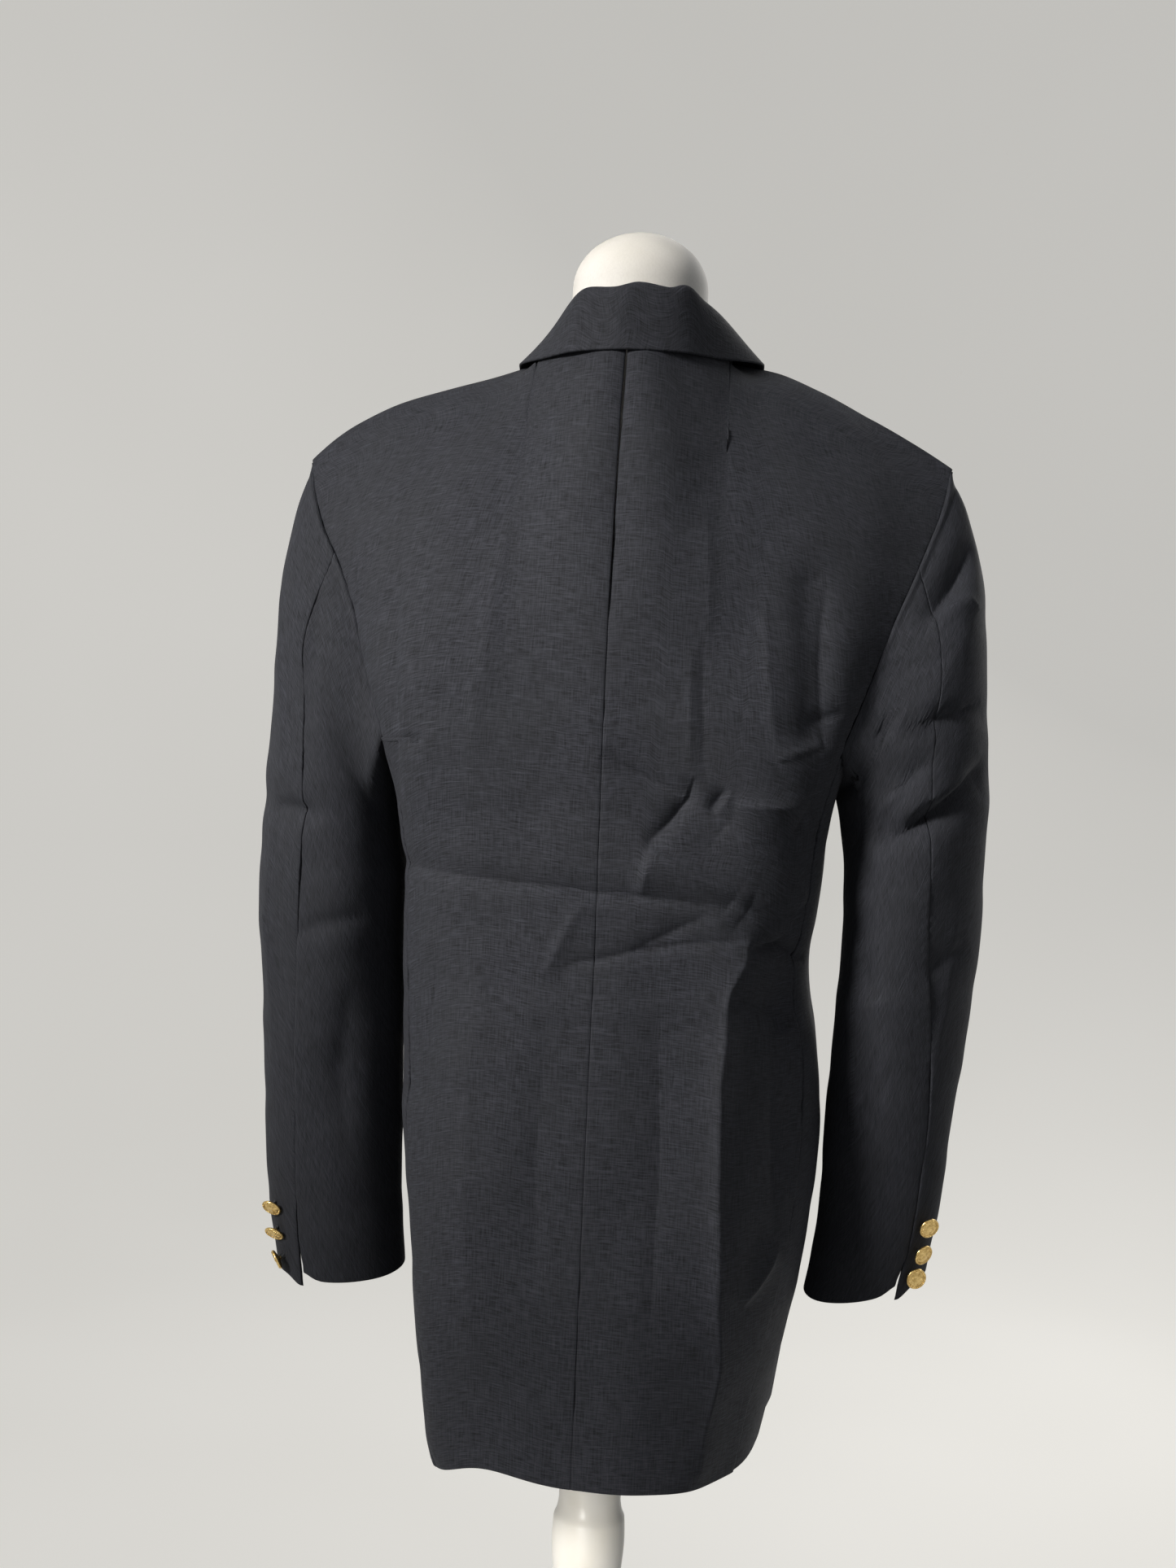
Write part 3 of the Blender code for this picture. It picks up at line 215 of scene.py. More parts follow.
FOOT_EASE = 1.3
COLLAR_LIFT = 0.0040
FOLD_ROUND = 0.008

GORGE_UP = 1.697
LAPEL_COLUMNS = ("share", "width")
LAPEL = (
    (0.00, 0.000),
    (0.15, 0.030),
    (0.40, 0.058),
    (0.70, 0.078),
    (1.00, 0.088),
)
LAPEL_LIFT = 0.0032
LAPEL_LEAST = 0.006
LAPEL_START = 0.998
LAPEL_START_UP = 0.02
GORGE_SLANT = 0.05
FRONT_WIDE = 0.150

# The largest folds: the face that each is on, its line as (x, z) seen from the back, how far it
# stands out of the cloth or sinks in, and how wide it is to either side
BODY_FOLDS = (
    ("back", ((0.152, 1.040), (0.117, 1.0385), (0.084, 1.035), (0.0465, 1.0316), (0.002, 1.0295),
              (-0.055, 1.026), (-0.0885, 1.020), (-0.114, 0.998)), -0.0016, 0.008),
    ("back", ((-0.1025, 0.990), (-0.0957, 0.974), (-0.0890, 0.955), (-0.0890, 0.930),
              (-0.0920, 0.761), (-0.0940, 0.711), (-0.0880, 0.683), (-0.0800, 0.640)), 0.0060, 0.020),
    ("back", ((-0.113, 0.998), (-0.121, 0.970), (-0.124, 0.930)), -0.0035, 0.014),
    ("back", ((-0.134, 1.240), (-0.138, 1.190), (-0.140, 1.140)), -0.0050, 0.013),
    ("back", ((0.135, 0.860), (0.125, 0.780), (0.100, 0.640)), 0.0040, 0.016),
    ("front", ((0.110, 1.020), (0.060, 1.000), (0.010, 0.995)), -0.0040, 0.012),
    ("front", ((-0.110, 1.015), (-0.060, 1.005), (-0.010, 0.995)), -0.0040, 0.012),
    ("front", ((0.095, 0.900), (0.100, 0.760), (0.098, 0.640)), 0.0050, 0.018),
    ("front", ((-0.095, 0.900), (-0.102, 0.760), (-0.100, 0.640)), 0.0050, 0.018),
)
SLEEVE_FOLDS = (
    ("back", ((-0.190, 1.075), (-0.212, 1.080), (-0.228, 1.088), (-0.243, 1.100), (-0.258, 1.112),
              (-0.270, 1.128)), -0.0045, 0.010),
    ("back", ((-0.150, 1.112), (-0.172, 1.112), (-0.195, 1.114), (-0.215, 1.124)), -0.0030, 0.010),
    ("back", ((-0.248, 1.290), (-0.237, 1.265), (-0.224, 1.245), (-0.215, 1.228)), -0.0040, 0.010),
    ("back", ((-0.262, 1.165), (-0.240, 1.155), (-0.215, 1.148)), -0.0025, 0.011),
    ("back", ((0.262, 1.078), (0.245, 1.074), (0.228, 1.068)), -0.0030, 0.010),
    ("front", ((0.255, 1.060), (0.235, 1.050), (0.195, 1.045)), -0.0040, 0.012),
    ("front", ((-0.255, 1.060), (-0.235, 1.050), (-0.195, 1.045)), -0.0040, 0.012),
)

# How far off the middle plane the cloth faces wholly back or forward, and where the folds fade
FACING_Y = 0.03
SLEEVE_FOLDS_START = 0.10
BODY_FOLDS_END = 1.9
BODY_FOLDS_FADE = 0.2

# The share of the sleeve down which each cuff button sits, its angle round it, and how many
# degrees it nods and swings. The front's buttons have their height
CUFF_BUTTONS = (
    ("cuff_button_left_1", "left", 0.927, 41, -34, 22),
    ("cuff_button_left_2", "left", 0.952, 41, -38, 18),
    ("cuff_button_left_3", "left", 0.981, 45, -14, -22),
    ("cuff_button_right_1", "right", 0.928, 46, -10, -16),
    ("cuff_button_right_2", "right", 0.957, 47, -4, -6),
    ("cuff_button_right_3", "right", 0.986, 47, 6, -22),
)
FRONT_BUTTONS = (("front_button_1", 0.960), ("front_button_2", 0.840))
FRONT_BUTTON_IN = 0.020
FRONT_AT_BUTTONS = 0.160

# The dress form's rings, from its flat underside to the start of its domed neck
FORM_COLUMNS = ("z", "half_x", "back_y", "front_y", "square")
FORM = (
    (0.700, 0.112, 0.096, -0.110, 2.2),
    (0.780, 0.122, 0.104, -0.118, 2.2),
    (0.880, 0.116, 0.092, -0.108, 2.2),
    (0.990, 0.100, 0.080, -0.096, 2.2),
    (1.100, 0.124, 0.092, -0.112, 2.3),
    (1.200, 0.144, 0.100, -0.112, 2.3),
    (1.290, 0.158, 0.084, -0.088, 2.3),
    (1.330, 0.150, 0.070, -0.074, 2.3),
    (1.355, 0.130, 0.060, -0.062, 2.2),
    (1.375, 0.1010, 0.053, -0.0535, 2.1),
    (1.385, 0.0855, 0.052, -0.0512, 2.0),
    (1.393, 0.0720, 0.051, -0.0507, 2.0),
    (1.410, 0.0545, 0.0503, -0.050, 2.0),
    (1.430, 0.0505, 0.0500, -0.050, 2.0),
    (1.465, 0.0500, 0.0500, -0.050, 2.0),
)
DOME_Z = 1.465
NECK_TOP_Z = 1.506
NECK_RADIUS = 0.050

POST_PROFILE = (
    (0.0240, 0.6997), (0.0230, 0.6900), (0.0228, 0.5740), (0.0240, 0.5660), (0.0262, 0.5600),
    (0.0268, 0.5450), (0.0250, 0.5200), (0.0215, 0.4900), (0.0190, 0.4500), (0.0180, 0.3600),
    (0.0195, 0.2600), (0.0230, 0.1800), (0.0250, 0.1400), (0.0235, 0.1150), (0.0200, 0.1050),
    (0.0250, 0.0950), (0.0290, 0.0800), (0.0300, 0.0550), (0.0330, 0.0400), (0.0340, 0.0183),
)


def column(table, names, name):
    """One named column of a table, as an array."""
    return np.array([row[names.index(name)] for row in table])


def paired(*values):
    """Places as arrays of one shape."""
    return np.broadcast_arrays(*(np.asarray(value, float) for value in values))


def smooth(places, values, at, level_start=False):
    """The values between the table's rows, on a cubic curve that doesn't overshoot them.

    level_start makes it leave the first row level, as where two mirrored halves meet.
    """
    at = np.clip(at, places[0], places[-1])
    steps = np.diff(places)
    slopes = np.diff(values) / steps
    level = slopes[:-1] * slopes[1:] <= 0
    total = np.where(level, 1, slopes[:-1] + slopes[1:])
    middle = np.where(level, 0, 2 * slopes[:-1] * slopes[1:] / total)
    first = 0 * slopes[:1] if level_start else slopes[:1]
    tangents = np.concatenate([first, middle, slopes[-1:]])
    span = np.clip(np.searchsorted(places, at, side="right") - 1, 0, len(steps) - 1)
    width = steps[span]
    t = (at - places[span]) / width
    start = values[span] * (1 + 2 * t) * (1 - t) ** 2 + tangents[span] * width * t * (1 - t) ** 2
    end = values[span + 1] * (3 - 2 * t) * t**2 + tangents[span + 1] * width * t**2 * (t - 1)
    return start + end


def table_value(table, names, name, at):
    """A named column of a table, at a place between its rows."""
    return smooth(column(table, names, names[0]), column(table, names, name), at)


def bezier(first, second, third, fourth, t):
    """A point of the cubic curve that four points draw."""
    t = np.asarray(t)[..., None]
    return (
        (1 - t) ** 3 * first
        + 3 * (1 - t) ** 2 * t * second
        + 3 * (1 - t) * t**2 * third
        + t**3 * fourth
    )


def unit(vectors):
    """The same directions, each one long."""
    return vectors / np.linalg.norm(vectors, axis=-1, keepdims=True)


def stacked(*coordinates):
    """Points from their separate coordinates."""
    return np.stack(np.broadcast_arrays(*coordinates), axis=-1)


def lengths_along(line):
    """How far along a line each of its points lies."""
    return np.concatenate([[0], np.cumsum(np.linalg.norm(np.diff(line, axis=0), axis=1))])


def ring_value(name, z):
    """One value of the body's ring at height z."""
    return table_value(RINGS, RING_COLUMNS, name, z)


def front_edge_x(z):
    """The front's inner edge: past the centre below the break, and along the roll line above."""
    rise = np.clip((z - BREAK_Z) / (NECK_SIDE_Z - BREAK_Z), 0, 1)
    return -FRONT_OVERLAP + (NECK_HALF + FRONT_OVERLAP) * rise**ROLL_BEND


def ring_point(side, panel, across, z):
    """A point of one panel on the body's ring at height z, at most the chest."""
    seam = stacked(ring_value("seam_x_" + side, z), ring_value("seam_y_" + side, z))
    widest = stacked(ring_value("half_" + side, z), ring_value("side_y", z))
    front = stacked(ring_value("front_x", z), ring_value("front_y", z))
    turn = math.radians(BACK_TURN)
    heading_back = np.array([math.cos(turn), -math.sin(turn)])
    turn = math.radians(FRONT_TURN)
    heading_front = np.array([-math.cos(turn), -math.sin(turn)])
    if panel == "back":
        back_y = ring_value("back_y", z)
        reach = SEAM_REACH * (back_y - seam[..., 1]) / math.sin(math.radians(BACK_TURN))
        bend = seam - reach[..., None] * heading_back
        start = stacked(0.0, back_y)
        return bezier(start, stacked(CENTRE_REACH * bend[..., 0], back_y), bend, seam, across)
    if panel == "side":
        first = np.linalg.norm(widest - seam, axis=-1)[..., None] / 3
        second = np.linalg.norm(front - widest, axis=-1)[..., None] / 3
        forward = np.array([0.0, -1.0])
        behind = bezier(
            seam, seam + first * heading_back, widest - first * forward, widest, 2 * across
        )
        ahead = bezier(
            widest, widest + second * forward, front - second * heading_front, front, 2 * across - 1
        )
        return np.where(np.asarray(across)[..., None] < 0.5, behind, ahead)
    centre_y = ring_value("centre_y", z)
    edge_x = front_edge_x(z)
    reach = SEAM_REACH * (front[..., 1] - centre_y) / math.sin(math.radians(FRONT_TURN))
    bend = front + reach[..., None] * heading_front
    edge = stacked(edge_x, centre_y)
    inner = stacked(edge_x + CENTRE_REACH * (bend[..., 0] - edge_x), centre_y)
    return bezier(front, bend, inner, edge, across)


def at_height(side, panel, across, z):
    """A point of one panel on the body's ring, with its height."""
    across, z = np.broadcast_arrays(across, z)
    flat = ring_point(side, panel, across, z)
    return stacked(flat[..., 0], flat[..., 1], z)


def shoulder_point(side, share):
    """The shoulder seam, from the side of the neck to its tip."""
    x = NECK_HALF + share * (TIP_X[side] - NECK_HALF)
    return stacked(x, 0.0, table_value(SHOULDER, SHOULDER_COLUMNS, "z_" + side, share))


def armhole_edge(side, panel, share):
    """The armhole seam of the back or the front, from the chest up to the tip."""
    z = column(ARMHOLE, ARMHOLE_COLUMNS, "z")
    x = column(ARMHOLE, ARMHOLE_COLUMNS, "x_" + side)
    y = column(ARMHOLE, ARMHOLE_COLUMNS, panel + "_y")
    tip = shoulder_point(side, 1.0)
    foot = at_height(side, panel, 1.0 if panel == "back" else 0.0, CHEST_Z)
    points = np.vstack([tip[None], stacked(x, y, z), foot[None]])[::-1]
    lengths = lengths_along(points)
    at = np.asarray(share) * lengths[-1]
    return stacked(*(smooth(lengths, points[:, axis], at) for axis in range(3)))


def neck_place(side):
    """How far across the back the side of the neck lies."""
    return NECK_HALF / TIP_X[side]


def eased(share):
    """A share from 0 to 1 that starts and ends level."""
    share = np.clip(share, 0, 1)
    return share * share * (3 - 2 * share)


def back_top(side, across):
    """Where the back's columns end: the shoulder seam, carried on up over the neck."""
    neck = neck_place(side)
    seam = shoulder_point(side, np.clip((across - neck) / (1 - neck), 0, 1))
    over = np.clip(1 - across / neck, 0, 1)
    lift = eased(over)
    z = seam[..., 2] + NECK_SLOPE * NECK_HALF * over * (1 - over) ** 2 + NAPE_RISE * lift
    return stacked(across * TIP_X[side], NAPE_BACK * lift, z)


def risen(side, panel, across, rise):
    """The columns' start at the chest and their first bend, which carries on straight up."""
    foot = at_height(side, panel, across, CHEST_Z)
    below = at_height(side, panel, across, CHEST_Z - 0.004)
    return foot, foot + rise * unit(foot - below)


def back_column(side, across, t):
    """The back above the chest: columns that lean forward over the shoulder blades."""
    foot, first = risen(side, "back", across, BACK_RISE)
    top = back_top(side, across)
    places = np.array([0, neck_place(side), 1])
    steep = smooth(places, np.array([1.0, NECK_STEEP, 0.0]), across)
    lean = unit(stacked(-0.10 * across, 1.00 - 0.50 * steep, -0.25 - 0.75 * steep))
    reach = TOP_REACH + (NAPE_REACH - TOP_REACH) * steep[..., None]
    points = bezier(foot, first, top + reach * lean, top, t)
    away = np.hypot(points[..., 0] - FULL_X, points[..., 1] - FULL_Y) / FULL_WIDE
    points[..., 2] += FULL_RISE * np.exp(-(away**2)) * eased(points[..., 1] / 0.03)
    return points


def front_column(side, across, t):
    """The front above the chest: columns that lean back to the shoulder seam."""
    foot, first = risen(side, "front", across, FRONT_RISE)
    top = shoulder_point(side, 1 - across)
    lean = unit(np.array([0, -1.00, -0.28]))
    return bezier(foot, first, top + FRONT_TOP_REACH * lean, top, t)


def roll_line(side, t):
    """The front's inner edge above the chest, up to the side of the neck."""
    z = CHEST_Z + t * (NECK_SIDE_Z - CHEST_Z)
    fall = np.clip((z - CHEST_Z) / (NECK_SIDE_Z - CHEST_Z), 0, 1)
    chest_y = at_height(side, "front", 1.0, CHEST_Z)[1]
    y = chest_y * (1 - fall**ROLL_FALL)
    return stacked(front_edge_x(z), y, z)


def upper_back(side, across, t):
    """The back's columns, drawn onto the armhole at their outer side."""
    arm = armhole_edge(side, "back", t) - back_column(side, np.ones_like(across), t)
    return back_column(side, across, t) + (across**BLEND_AT_ARMHOLE)[..., None] * arm


def upper_front(side, across, t):
    """The front's columns, drawn onto the armhole at one side and the roll line at the other."""
    arm = armhole_edge(side, "front", t) - front_column(side, np.zeros_like(across), t)
    roll = roll_line(side, t) - front_column(side, np.ones_like(across), t)
    drawn = ((1 - across) ** BLEND_AT_ARMHOLE)[..., None] * arm + (across**2)[..., None] * roll
    return front_column(side, across, t) + drawn


@functools.cache
def neckline(side):
    """Where the neckline cuts the back's columns, by the angle round the neck from the centre."""
    turn = np.linspace(0, math.pi / 2, 61)
    across = neck_place(side) * np.sin(turn)
    low = np.full_like(turn, 0.5)
    high = np.ones_like(turn)
    for _ in range(24):
        middle = (low + high) / 2
        points = upper_back(side, across, middle)
        within = (points[:, 0] / NECK_HALF) ** 2 + (points[:, 1] / NECK_BACK_Y) ** 2 < 1
        high = np.where(within, middle, high)
        low = np.where(within, low, middle)
    return turn, np.where(turn > 1.57, 1.0, low)


def cut_at_neck(side, panel, across, up):
    """The same rows, brought down so that the back's last row runs along the neckline."""
    if panel != "back":
        return up
    turn = np.arcsin(np.clip(across / neck_place(side), 0, 1))
    return np.where(up > 1, 1 + (up - 1) * np.interp(turn, *neckline(side)), up)


def neck_columns(side):
    """Places across the back, evenly spaced round its neckline."""
    return neck_place(side) * np.sin(np.linspace(0, math.pi / 2, NECK_COLUMNS))


def hem_rise(side, panel, across):
    """The hem isn't quite level: it lifts a little beside the centre back."""
    if panel == "side":
        return HEM_CORNER[side] * (1 - across) ** 2
    if panel == "front":
        return np.zeros_like(across)
    rise = HEM_LIFT[side] * np.sin(math.pi * across) ** 2
    return rise + HEM_CORNER[side] * across**2 + HEM_CENTRE * (1 - across)


def body_surface(side, panel):
    """The outer face of a body panel. up is 0 at the hem, 1 at the chest and 2 at the top."""

    def surface(across, up):
        across, up = paired(across, up)
        fade = np.clip(1 - up / HEM_FADE, 0, 1) ** 2
        if panel == "side":
            top = CHEST_Z - UNDERARM_DIP * np.sin(math.pi * across)
            points = at_height(side, panel, across, HEM_Z + up * (top - HEM_Z))
            points[..., 2] += fade * hem_rise(side, panel, across)
            return points
        low = np.clip(up, 0, 1)
        points = at_height(side, panel, across, HEM_Z + low * (CHEST_Z - HEM_Z))
        points[..., 2] += fade * hem_rise(side, panel, across)
        upper = upper_back if panel == "back" else upper_front
        raised = upper(side, across, np.clip(up - 1, 0, 1))
        return np.where((up > 1)[..., None], raised, points)

    return surface


def armhole_ring(side, angle):
    """The whole armhole, by the angle round it from the tip backwards, in radians."""
    shares = np.linspace(0, 1, 60)
    halves = []
    for panel, across in (("back", 0.5 * shares), ("front", 1 - 0.5 * shares)):
        under = body_surface(side, "side")(across, 1.0)
        line = np.vstack([armhole_edge(side, panel, 1 - shares), under[1:]])
        length = lengths_along(line)
        halves.append((line, length / length[-1]))
    turn = np.mod(angle, 2 * math.pi)
    backwards = turn <= math.pi
    share = np.where(backwards, turn, 2 * math.pi - turn) / math.pi
    found = [
        stacked(*(np.interp(share, length, line[:, axis]) for axis in range(3)))
        for line, length in halves
    ]
    return np.where(backwards[..., None], found[0], found[1])


def sleeve_value(name, share):
    """One value of the sleeve's ring at this share of its length."""
    return table_value(SLEEVE, SLEEVE_COLUMNS, name, share)


def sleeve_ring(side, angle, share):
    """A point of the sleeve's own tilted ring, below its head."""
    names = ("out_x_" + side, "out_z_" + side, "in_x_" + side, "in_z_" + side, "mid_y", "half_y")
    out_x, out_z, in_x, in_z, mid_y, half_y = (sleeve_value(name, share) for name in names)
    ahead = np.minimum(share + 0.02, 1)
    behind = ahead - 0.04
    drop = sleeve_value("out_z_" + side, behind) - sleeve_value("out_z_" + side, ahead)
    pitch = (sleeve_value("mid_y", behind) - sleeve_value("mid_y", ahead)) / drop
    x = (out_x + in_x) / 2 + (out_x - in_x) / 2 * np.cos(angle)
    z = (out_z + in_z) / 2 + (out_z - in_z) / 2 * np.cos(angle) - pitch * half_y * np.sin(angle)
    return stacked(x, mid_y + half_y * np.sin(angle), z)


def sleeve_point(side, angle, share):
    """The sleeve's outer face: it leaves the armhole and bends down into its own rings."""
    start = armhole_ring(side, angle) + np.array(HEAD_SHIFT)
    bend = np.abs(np.mod(np.degrees(angle) + 180, 360) - 180)
    x, y, z = (table_value(HEAD, HEAD_COLUMNS, name, bend) for name in ("x", "y", "z"))
    leaving = unit(stacked(x, y * np.sign(np.sin(angle)), z))
    low = np.full_like(share, HEAD_SHARE)
    foot = sleeve_ring(side, angle, low)
    falling = unit(sleeve_ring(side, angle, low + 0.01) - foot)
    span = np.linalg.norm(foot - start, axis=-1)[..., None]
    first = start + HEAD_LEAVES * span * leaving
    second = foot - HEAD_MEETS * span * falling
    head = bezier(start, first, second, foot, share / HEAD_SHARE)
    own = sleeve_ring(side, angle, share)
    return np.where((share < HEAD_SHARE)[..., None], head, own)


def hind_angle(side, share):
    """Where the hind seam lies round the sleeve."""
    return np.radians(sleeve_value("hind_" + side, share))


def sleeve_surface(side, panel):
    """The outer face of the top or the under sleeve. along is 0 at the armhole, 1 at the cuff."""
    fore = math.radians(FORE_SEAM)

    def surface(across, along):
        across, along = paired(across, along)
        hind = hind_angle(side, along)
        slit = np.clip((along - CUFF_SLIT_SHARE) / (1 - CUFF_SLIT_SHARE), 0, 1)
        opened = slit * CUFF_SLIT / CUFF_REACH
        if panel == "top":
            angle = fore - 2 * math.pi + across * (hind - fore + 2 * math.pi)
        else:
            angle = hind + opened + across * (fore - hind - opened)
        return sleeve_point(side, angle, along)

    return surface


def line_place(x, z, line):
    """How far each point lies from a line, to its left or right, and how far along the line."""
    points = np.array(line)
    steps = np.diff(points, axis=0)
    lengths = np.hypot(steps[:, 0], steps[:, 1])
    reached = np.concatenate([[0], np.cumsum(lengths)]) / lengths.sum()
    best = np.full(np.shape(x), 1e9)
    sided = np.zeros(np.shape(x))
    share = np.zeros(np.shape(x))
    for number, (step, length) in enumerate(zip(steps, lengths)):
        away_x = x - points[number, 0]
        away_z = z - points[number, 1]
        t = np.clip((away_x * step[0] + away_z * step[1]) / length**2, 0, 1)
        distance = np.hypot(away_x - t * step[0], away_z - t * step[1])
        nearer = distance < best
        best = np.where(nearer, distance, best)
        across = (away_x * step[1] - away_z * step[0]) / length
        sided = np.where(nearer, across, sided)
        along = reached[number] + t * (reached[number + 1] - reached[number])
        share = np.where(nearer, along, share)
    return best, sided, share


def fold_height(side, points, folds):
    """How far the folds raise or sink the cloth at each point."""
    height = np.zeros(points.shape[:-1])
    x = SIGN[side] * points[..., 0]
    for where, line, out, wide in folds:
        behind = 1 if where == "back" else -1
        facing = np.clip(behind * points[..., 1] / FACING_Y, 0, 1)
        distance = line_place(x, points[..., 2], line)[0]
        height += facing * out * np.exp(-((distance / wide) ** 2))
    return height


def surface_normals(surface, across, up, most_up):
    """The outward direction at each point, from the surface just beside it."""
    step = 1e-4
    left = surface(np.maximum(across - step, 0), up)
    right = surface(np.minimum(across + step, 1), up)
    low = surface(across, np.maximum(up - step, 0))
    high = surface(across, np.minimum(up + step, most_up))
    return unit(np.cross(high - low, right - left))


def folded(side, surface, folds, most_up):
    """The same surface with its folds, which fade out towards the armhole or the shoulder."""

    def with_folds(across, up):
        across, up = paired(across, up)
        points = surface(across, up)
        height = fold_height(side, points, folds)
        if folds is SLEEVE_FOLDS:
            height = height * np.clip(up / SLEEVE_FOLDS_START, 0, 1)
        else:
            height = height * np.clip((BODY_FOLDS_END - up) / BODY_FOLDS_FADE, 0, 1)
        return points + height[..., None] * surface_normals(surface, across, up, most_up)

    return with_folds


def lapped(side, surface):
    """The front with its edge eased in where the other front lies over it."""

    def with_lap(across, up):
        points = surface(across, up).copy()
        points[..., 1] += LAP_DEPTH[side] * eased((NECK_HALF - points[..., 0]) / LAP_WIDE)
        return points

    return with_lap


def collar_foot(side, share):
    """The collar's neck edge: round the neckline to the side of the neck, then down the roll."""
    if share > COLLAR_SIDE:
        down = COLLAR_DOWN_ROLL * (share - COLLAR_SIDE) / (1 - COLLAR_SIDE)
        return roll_line(side, np.array(1 - down))
    corners = neck_columns(side)
    points = body_surface(side, "back")(corners, cut_at_neck(side, "back", corners, 2.0))
    at = (share / COLLAR_SIDE) ** FOOT_EASE * (NECK_COLUMNS - 1)
    return np.array([np.interp(at, range(NECK_COLUMNS), points[:, axis]) for axis in range(3)])


def collar_lines(side, places):
    """One side of the collar's neck edge, fold line and outer edge, at each place along it."""
    shares = column(COLLAR, COLLAR_COLUMNS, "share")
    across = column(COLLAR, COLLAR_COLUMNS, "across_" + side)
    up = column(COLLAR, COLLAR_COLUMNS, "up")
    edge = []
    for number, row in enumerate(COLLAR):
        panel = row[COLLAR_COLUMNS.index("panel")]
        surface = body_surface(side, panel)
        place = across[number : number + 1]
        at = place, cut_at_neck(side, panel, place, up[number : number + 1])
        edge.append((surface(*at) + COLLAR_LIFT * surface_normals(surface, *at, 2))[0])
    edge[0][0] = 0.0
    names = ("fold_x_" + side, "fold_y", "fold_z")
    fold = stacked(*(column(COLLAR, COLLAR_COLUMNS, name) for name in names))
    foot = np.array([collar_foot(side, place) for place in places])
    along = [
        stacked(*(smooth(shares, line[:, axis], places, axis > 0) for axis in range(3)))
        for line in (fold, np.array(edge))
    ]
    return foot, *along


def collar_profile(start, fold, end, places):
    """The collar's section at one place: up the stand, over the fold and down the fall."""
    outward = end - fold
    outward[2] = 0
    outward = outward / np.linalg.norm(outward)
    rise = fold[2] - start[2]
    start = start + np.array([0, 0, 4 * GAP]) - outward * WALL
    round_by = min(FOLD_ROUND, 0.6 * rise + 0.0035)
    up_stand = start + np.array([0, 0, STAND_RISE * rise])
    to_fold = fold - outward * round_by * STAND_LEAN
    over_fold = fold + outward * round_by
    down_fall = end - 0.5 * (end - fold) + outward * FALL_EASE

    def curve(place):
        if place < 0.5:
            return bezier(start, up_stand, to_fold, fold, 2 * place)
        return bezier(fold, over_fold, down_fall, end, 2 * place - 1)

    points = np.array([curve(place) for place in places])
    ahead = np.array([curve(min(place + 1e-3, 1)) for place in places])
    behind = np.array([curve(max(place - 1e-3, 0)) for place in places])
    along = unit(ahead - behind)
    cross = np.cross(outward, np.array([0, 0, 1.0]))
    normals = unit(np.cross(along, cross))
    if normals[len(places) // 2][2] < 0:
        normals = -normals
    return points, normals


# How finely the cloth is drawn, and how its seams and edges are shaped
CLOTH_STEP = 0.0034
BACK_STEP = 0.0026
BACK_COLUMN_STEP = {"left": 0.0028, "right": 0.0019}
CRUMPLED_Z = (0.930, 1.122)
CRUMPLED_STEP = 0.0016
EDGE_STEPS = (0.0008, 0.0018, 0.0032)
CLOSEST = 0.4
UPPER_LONG = 0.30
TOP_SHORT = 0.0002
PANEL_WIDE = {"back": 0.205, "side": 0.125, "front": 0.185, "top": 0.235, "under": 0.150}
NECK_LONG = 0.115
NECK_CLEAR = 0.003
SHOULDER_UP = 1.99
RIDGE_NEAR = 0.004
LAPEL_WIDE = 0.094
LAPEL_LONG = 0.36
LAPEL_ROLL = 0.0016
LAPEL_ROLL_AT = 0.006
LAPEL_WAVE = 0.0007
SEAM_DIP = 0.0004
SEAM_WIDE = 0.0007
EDGE_SOFT = 0.0012
CREASE_TIMES = 2.2
CREASE_SHARP = 1.05
CREASE_FADE = 0.6
LIP_STEEP = 0.0010
LIP_WIDE = 0.0060
PUCKER = 0.00022
PUCKER_LONG = 0.0125
PUCKER_WIDE = 0.008
PUCKER_DRIFT = 0.017
TOP_FADE = 0.12
TOP_KEPT = 0.25
EDGE_ROUND = 0.0008
ROPE = 0.0021
ROPE_AT = 0.007
ROPE_WIDE = 0.006
ROPE_FROM_Z = 1.18
ROPE_FADE = 0.08
HEAD_FADE = 0.03
SLEEVE_LONG = 0.62
SLEEVE_HALF_ROUND = 0.2
RIDGE_WEIGHTS = (1, 3, 6, 10, 13, 15, 16, 15, 13, 10, 6, 3, 1)
RIDGE_ANGLE = 0.42
RIDGE_STARTS = 0.008
CORNER_FROM = 0.955
CORNER_LONG = 0.045
TAB_DROP = 0.0055
TAB_WIDE = 0.010
CORNER_LIFT = 0.0045
CORNER_WIDE = 0.008

